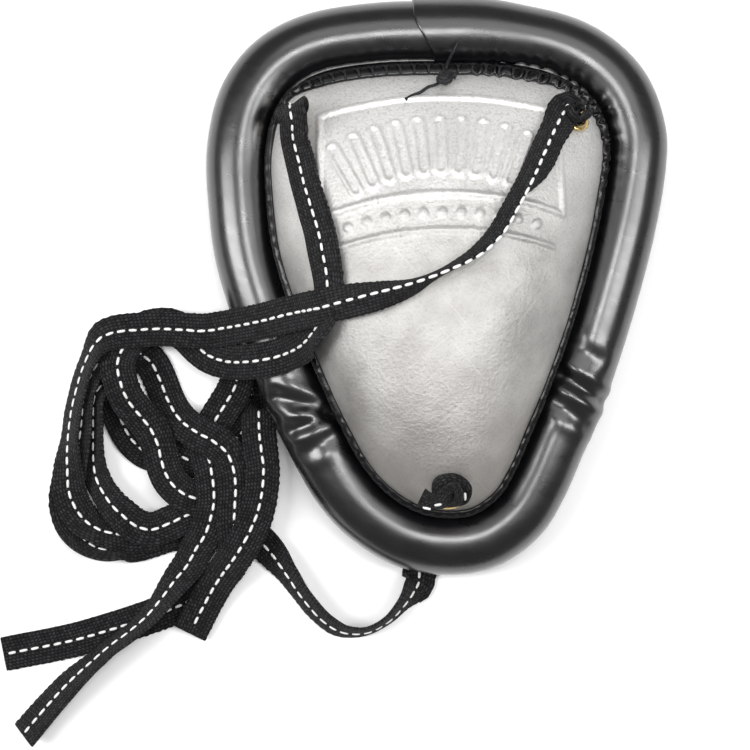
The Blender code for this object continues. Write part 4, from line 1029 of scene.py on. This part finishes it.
def build_strap(name, node, side, start, route, tape, thread):
    """A woven tape with its white running stitch."""
    spots, distances, forward, across, upper, folded = strap_course(side, start, route)
    spread = smooth_step(distances, *EYELET_SPREAD)
    out, up = strap_sections(spread, folded)
    middle = spots[:, None] + across[:, None] * out[..., None] + upper[:, None] * up[..., None]
    tangent = np.gradient(middle, axis=1)
    facing = unit(np.cross(tangent, forward[:, None]))
    a = np.linspace(-1, 1, out.shape[1])
    thick = STRAP_THICKNESS / 2 * (1 - 0.35 * np.abs(a) ** 8) * (1 - 0.16 * bell(a, 0, 0.07))
    ragged = 0.00016 * np.sin(2 * math.pi * distances / EDGE_PITCH)
    ragged = ragged + 0.00012 * soft_noise(distances / 0.004, 31, 2)
    edge = ragged[:, None] * np.sign(a) * (np.abs(a) > 0.99)
    top = middle + facing * thick[:, None] + across[:, None] * edge[..., None]
    under = (middle - facing * thick[:, None])[:, ::-1]
    rows = np.concatenate([top, under], axis=1)
    rows[..., 2] = np.maximum(rows[..., 2], 0.0)
    u = np.append(a, a[::-1]) * STRAP_WIDTH / 2 * 1000
    uvs = np.stack(np.broadcast_arrays(u, distances[:, None] * 1000), axis=-1).reshape(-1, 2)
    strap = make_piece(name, rows, bar_faces(*rows.shape[:2]), tape, node, uvs)
    mid = out.shape[1] // 2
    stitches = build_stitches(name + "_stitching", distances, middle[:, mid], forward, facing[:, mid], thread)


def stitch_shape(middle, way, out, reach=STITCH_LENGTH / 2):
    """One short fat stitch lying along way on a surface that faces out."""
    rings, sides = 5, 8
    t = np.linspace(0, math.pi, rings + 2)[1:-1]
    angles = np.linspace(0, 2 * math.pi, sides, endpoint=False)
    swell = np.sin(t)[:, None] ** 0.55
    along = np.hstack([-1, np.repeat(-np.cos(t), sides), 1]) * reach
    width = np.hstack([0, (swell * np.cos(angles)).ravel(), 0]) * STITCH_WIDTH / 2
    height = np.hstack([0, (swell * np.sin(angles)).ravel(), 0]) * STITCH_WIDTH * 0.44
    last = rings * sides + 1
    faces = (grid_faces(rings, sides, close_columns=True) + 1).tolist()
    faces += [[0, 1 + j, 1 + (j + 1) % sides] for j in range(sides)]
    faces += [[last, last - sides + (j + 1) % sides, last - sides + j] for j in range(sides)]
    points = middle + np.outer(along, way) + np.outer(width, np.cross(way, out)) + np.outer(height, out)
    return points, faces, np.column_stack([width, along]) * 1000


def build_stitches(name, distances, line, forward, facing, thread):
    """A running stitch down the middle of both faces."""
    wanted = np.arange(STITCH_START, distances[-1] - 0.002, STITCH_PITCH)
    spots, ways, outs = (at_lengths(rows, distances, wanted) for rows in (line, forward, facing))
    parts = []
    for spot, way, out in zip(spots, unit(ways), unit(outs)):
        jitter = RNG.uniform(-1, 1, 2)
        lean = unit(way + np.cross(way, out) * 0.06 * jitter[0])
        reach = STITCH_LENGTH / 2 * (1 + 0.08 * jitter[1])
        for face in (1, -1):
            middle = spot + out * face * (STRAP_THICKNESS / 2 - STITCH_SINK)
            parts.append(stitch_shape(middle, lean, out, reach))
    vertices, faces, uvs = merged(parts)
    vertices[:, 2] = np.maximum(vertices[:, 2], 0.00005)
    return make_piece(name, vertices, faces, thread, uvs=uvs)


# An overhand knot's middle line in millimetres, and its showing stitches' distances from its loose end.
KNOT_LINE = [
    (0.0, 0.0, -5.0), (0.0, 0.0, -2.6), (2.5, -2.5, -0.6), (5.0, -1.0, 0.4), (4.8, 2.6, 1.2),
    (1.2, 4.6, 1.6), (-2.8, 3.0, 1.6), (-3.6, -0.6, 1.6), (-1.0, -3.4, 2.0), (2.6, -2.6, 3.4),
    (3.6, 0.8, 4.4), (1.4, 3.8, 4.2), (-0.8, 1.4, 4.6), (-2.2, -1.8, 4.2), (-5.0, -3.2, 2.6),
    (-8.0, -3.4, 1.4), (-10.0, -2.8, 0.8),
]
KNOT_STITCHES = (0.0030, 0.0072, 0.0190)
# How far off the shell a strap's knot sits along its eyelet's axis.
WAIST_KNOT = WAIST_START - 0.0040
CROTCH_KNOT = CROTCH_START + 0.0048
# Which way a strap's knot leans from its eyelet's axis, and how far it has slumped from there.
KNOT_LIES = {"crotch": ((0, 0.30, 1.0), (0.0005, 0.0085, 0.0020))}


def knot_shape(middle, axis, scale, radius, flat, turns):
    """A tied overhand knot of oval cord, in a place and facing along an axis, and its middle line."""
    local = curve_points(np.array(KNOT_LINE) * 0.001 * scale, closed=False, per_span=10)
    turn = Vector(axis).to_track_quat("Z", "Y").to_matrix()
    line = np.asarray(middle) + local @ np.array(turn.transposed())
    t = np.linspace(0, 1, len(line))
    size = radius * (0.75 + 0.25 * smooth_step(t, 0.02, 0.12)) * (1 - 0.15 * bell(t, 0.5, 0.1))
    size = size * (1 + 0.05 * soft_noise(t * 6, 12, 2))
    return *tube_along(line, size, sides=20, flat=flat, turns=turns), line


def build_strap_knot(name, node, side, offset, tape, thread):
    """A stopper knot of bunched tape over an eyelet, with some of its stitches showing."""
    place, axis = eyelet_frame(side)
    lean, slump = KNOT_LIES.get(side, ((0, 0, 0), (0, 0, 0)))
    outward = axis if offset > 0 else -axis
    middle = place + outward * abs(offset) + slump
    facing = unit(outward + lean)
    vertices, faces, uvs, line = knot_shape(middle, facing, scale=0.95, radius=0.0034, flat=0.52, turns=1.1)
    item = make_piece(name, vertices, faces, tape, node, uvs)
    along = lengths_along(line)
    tangent = unit(np.gradient(line, axis=0))
    out = line - line.mean(axis=0)
    out = unit(out - tangent * (out * tangent).sum(axis=1, keepdims=True))
    spots, ways, outs = (at_lengths(rows, along, along[-1] - np.array(KNOT_STITCHES))
                         for rows in (line, tangent, out))
    dashes = []
    for spot, way, out_way in zip(spots, unit(ways), unit(outs)):
        offsets = vertices - spot
        ahead = offsets @ out_way
        close = np.linalg.norm(offsets - ahead[:, None] * out_way, axis=1) < 0.0012
        depth = min(ahead[close].max() if close.any() else 0.0016, 0.0036)
        dashes.append(stitch_shape(spot + out_way * depth, way, out_way))
    vertices, faces, uvs = merged(dashes)
    return [item, make_piece(name + "_stitching", vertices, faces, thread, uvs=uvs)]


# --- Assembly -------------------------------------------------------------------------------------

add_camera()
for LAMP in LAMPS:
    add_lamp(*LAMP)
add_surroundings()

METAL = cast_metal()
VINYL = black_vinyl("black_vinyl_finish", 0.35, 0.85)
HEM_VINYL = black_vinyl("hem_vinyl_finish", 0.05, 0.35)
TAPE = black_webbing()
THREAD = white_thread()
CORD = black_cord()
BRASS = plated("brass_finish", (0.66, 0.46, 0.18), (0.86, 0.66, 0.32), 0.22)
STEEL = plated("washer_steel_finish", (0.50, 0.50, 0.50), (0.68, 0.68, 0.69), 0.30)
FOAM = open_foam()

# Each strap's names, where it starts along its eyelet's axis, where its knot sits, and its route.
STRAPS = {
    "left": ("left_waist_tape", "left_waist_strap", WAIST_START, WAIST_KNOT, LEFT_ROUTE),
    "right": ("right_waist_tape", "right_waist_strap", WAIST_START, WAIST_KNOT, RIGHT_ROUTE),
    "crotch": ("crotch_tape", "crotch_strap", CROTCH_START, CROTCH_KNOT, CROTCH_ROUTE),
}
for SIDE, (NAME, NODE, START, KNOT_PLACE, ROUTE) in STRAPS.items():
    KNOT = build_strap_knot(NAME + "_knot", SIDE + "_strap_knot", SIDE, KNOT_PLACE, TAPE, THREAD)
    build_strap(NAME, NODE, SIDE, START, ROUTE, TAPE, THREAD)

build_shell(METAL)
build_foam(FOAM)
build_cover(VINYL)
FACES = {"front": 1, "rear": -1}
for FACE, WAY in FACES.items():
    build_hem(FACE + "_gathered_hem", FACE + "_hem", WAY, HEM_VINYL)
for FACE, WAY in FACES.items():
    build_lacing(FACE + "_lacing", FACE + "_drawcord", WAY, CORD)
build_drawcord_ends(CORD)
for SIDE in EYELETS:
    build_eyelet(SIDE, BRASS)
    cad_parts[SIDE + "_eyelet_washer"].material_slots[0].material = STEEL

bpy.context.view_layer.update()
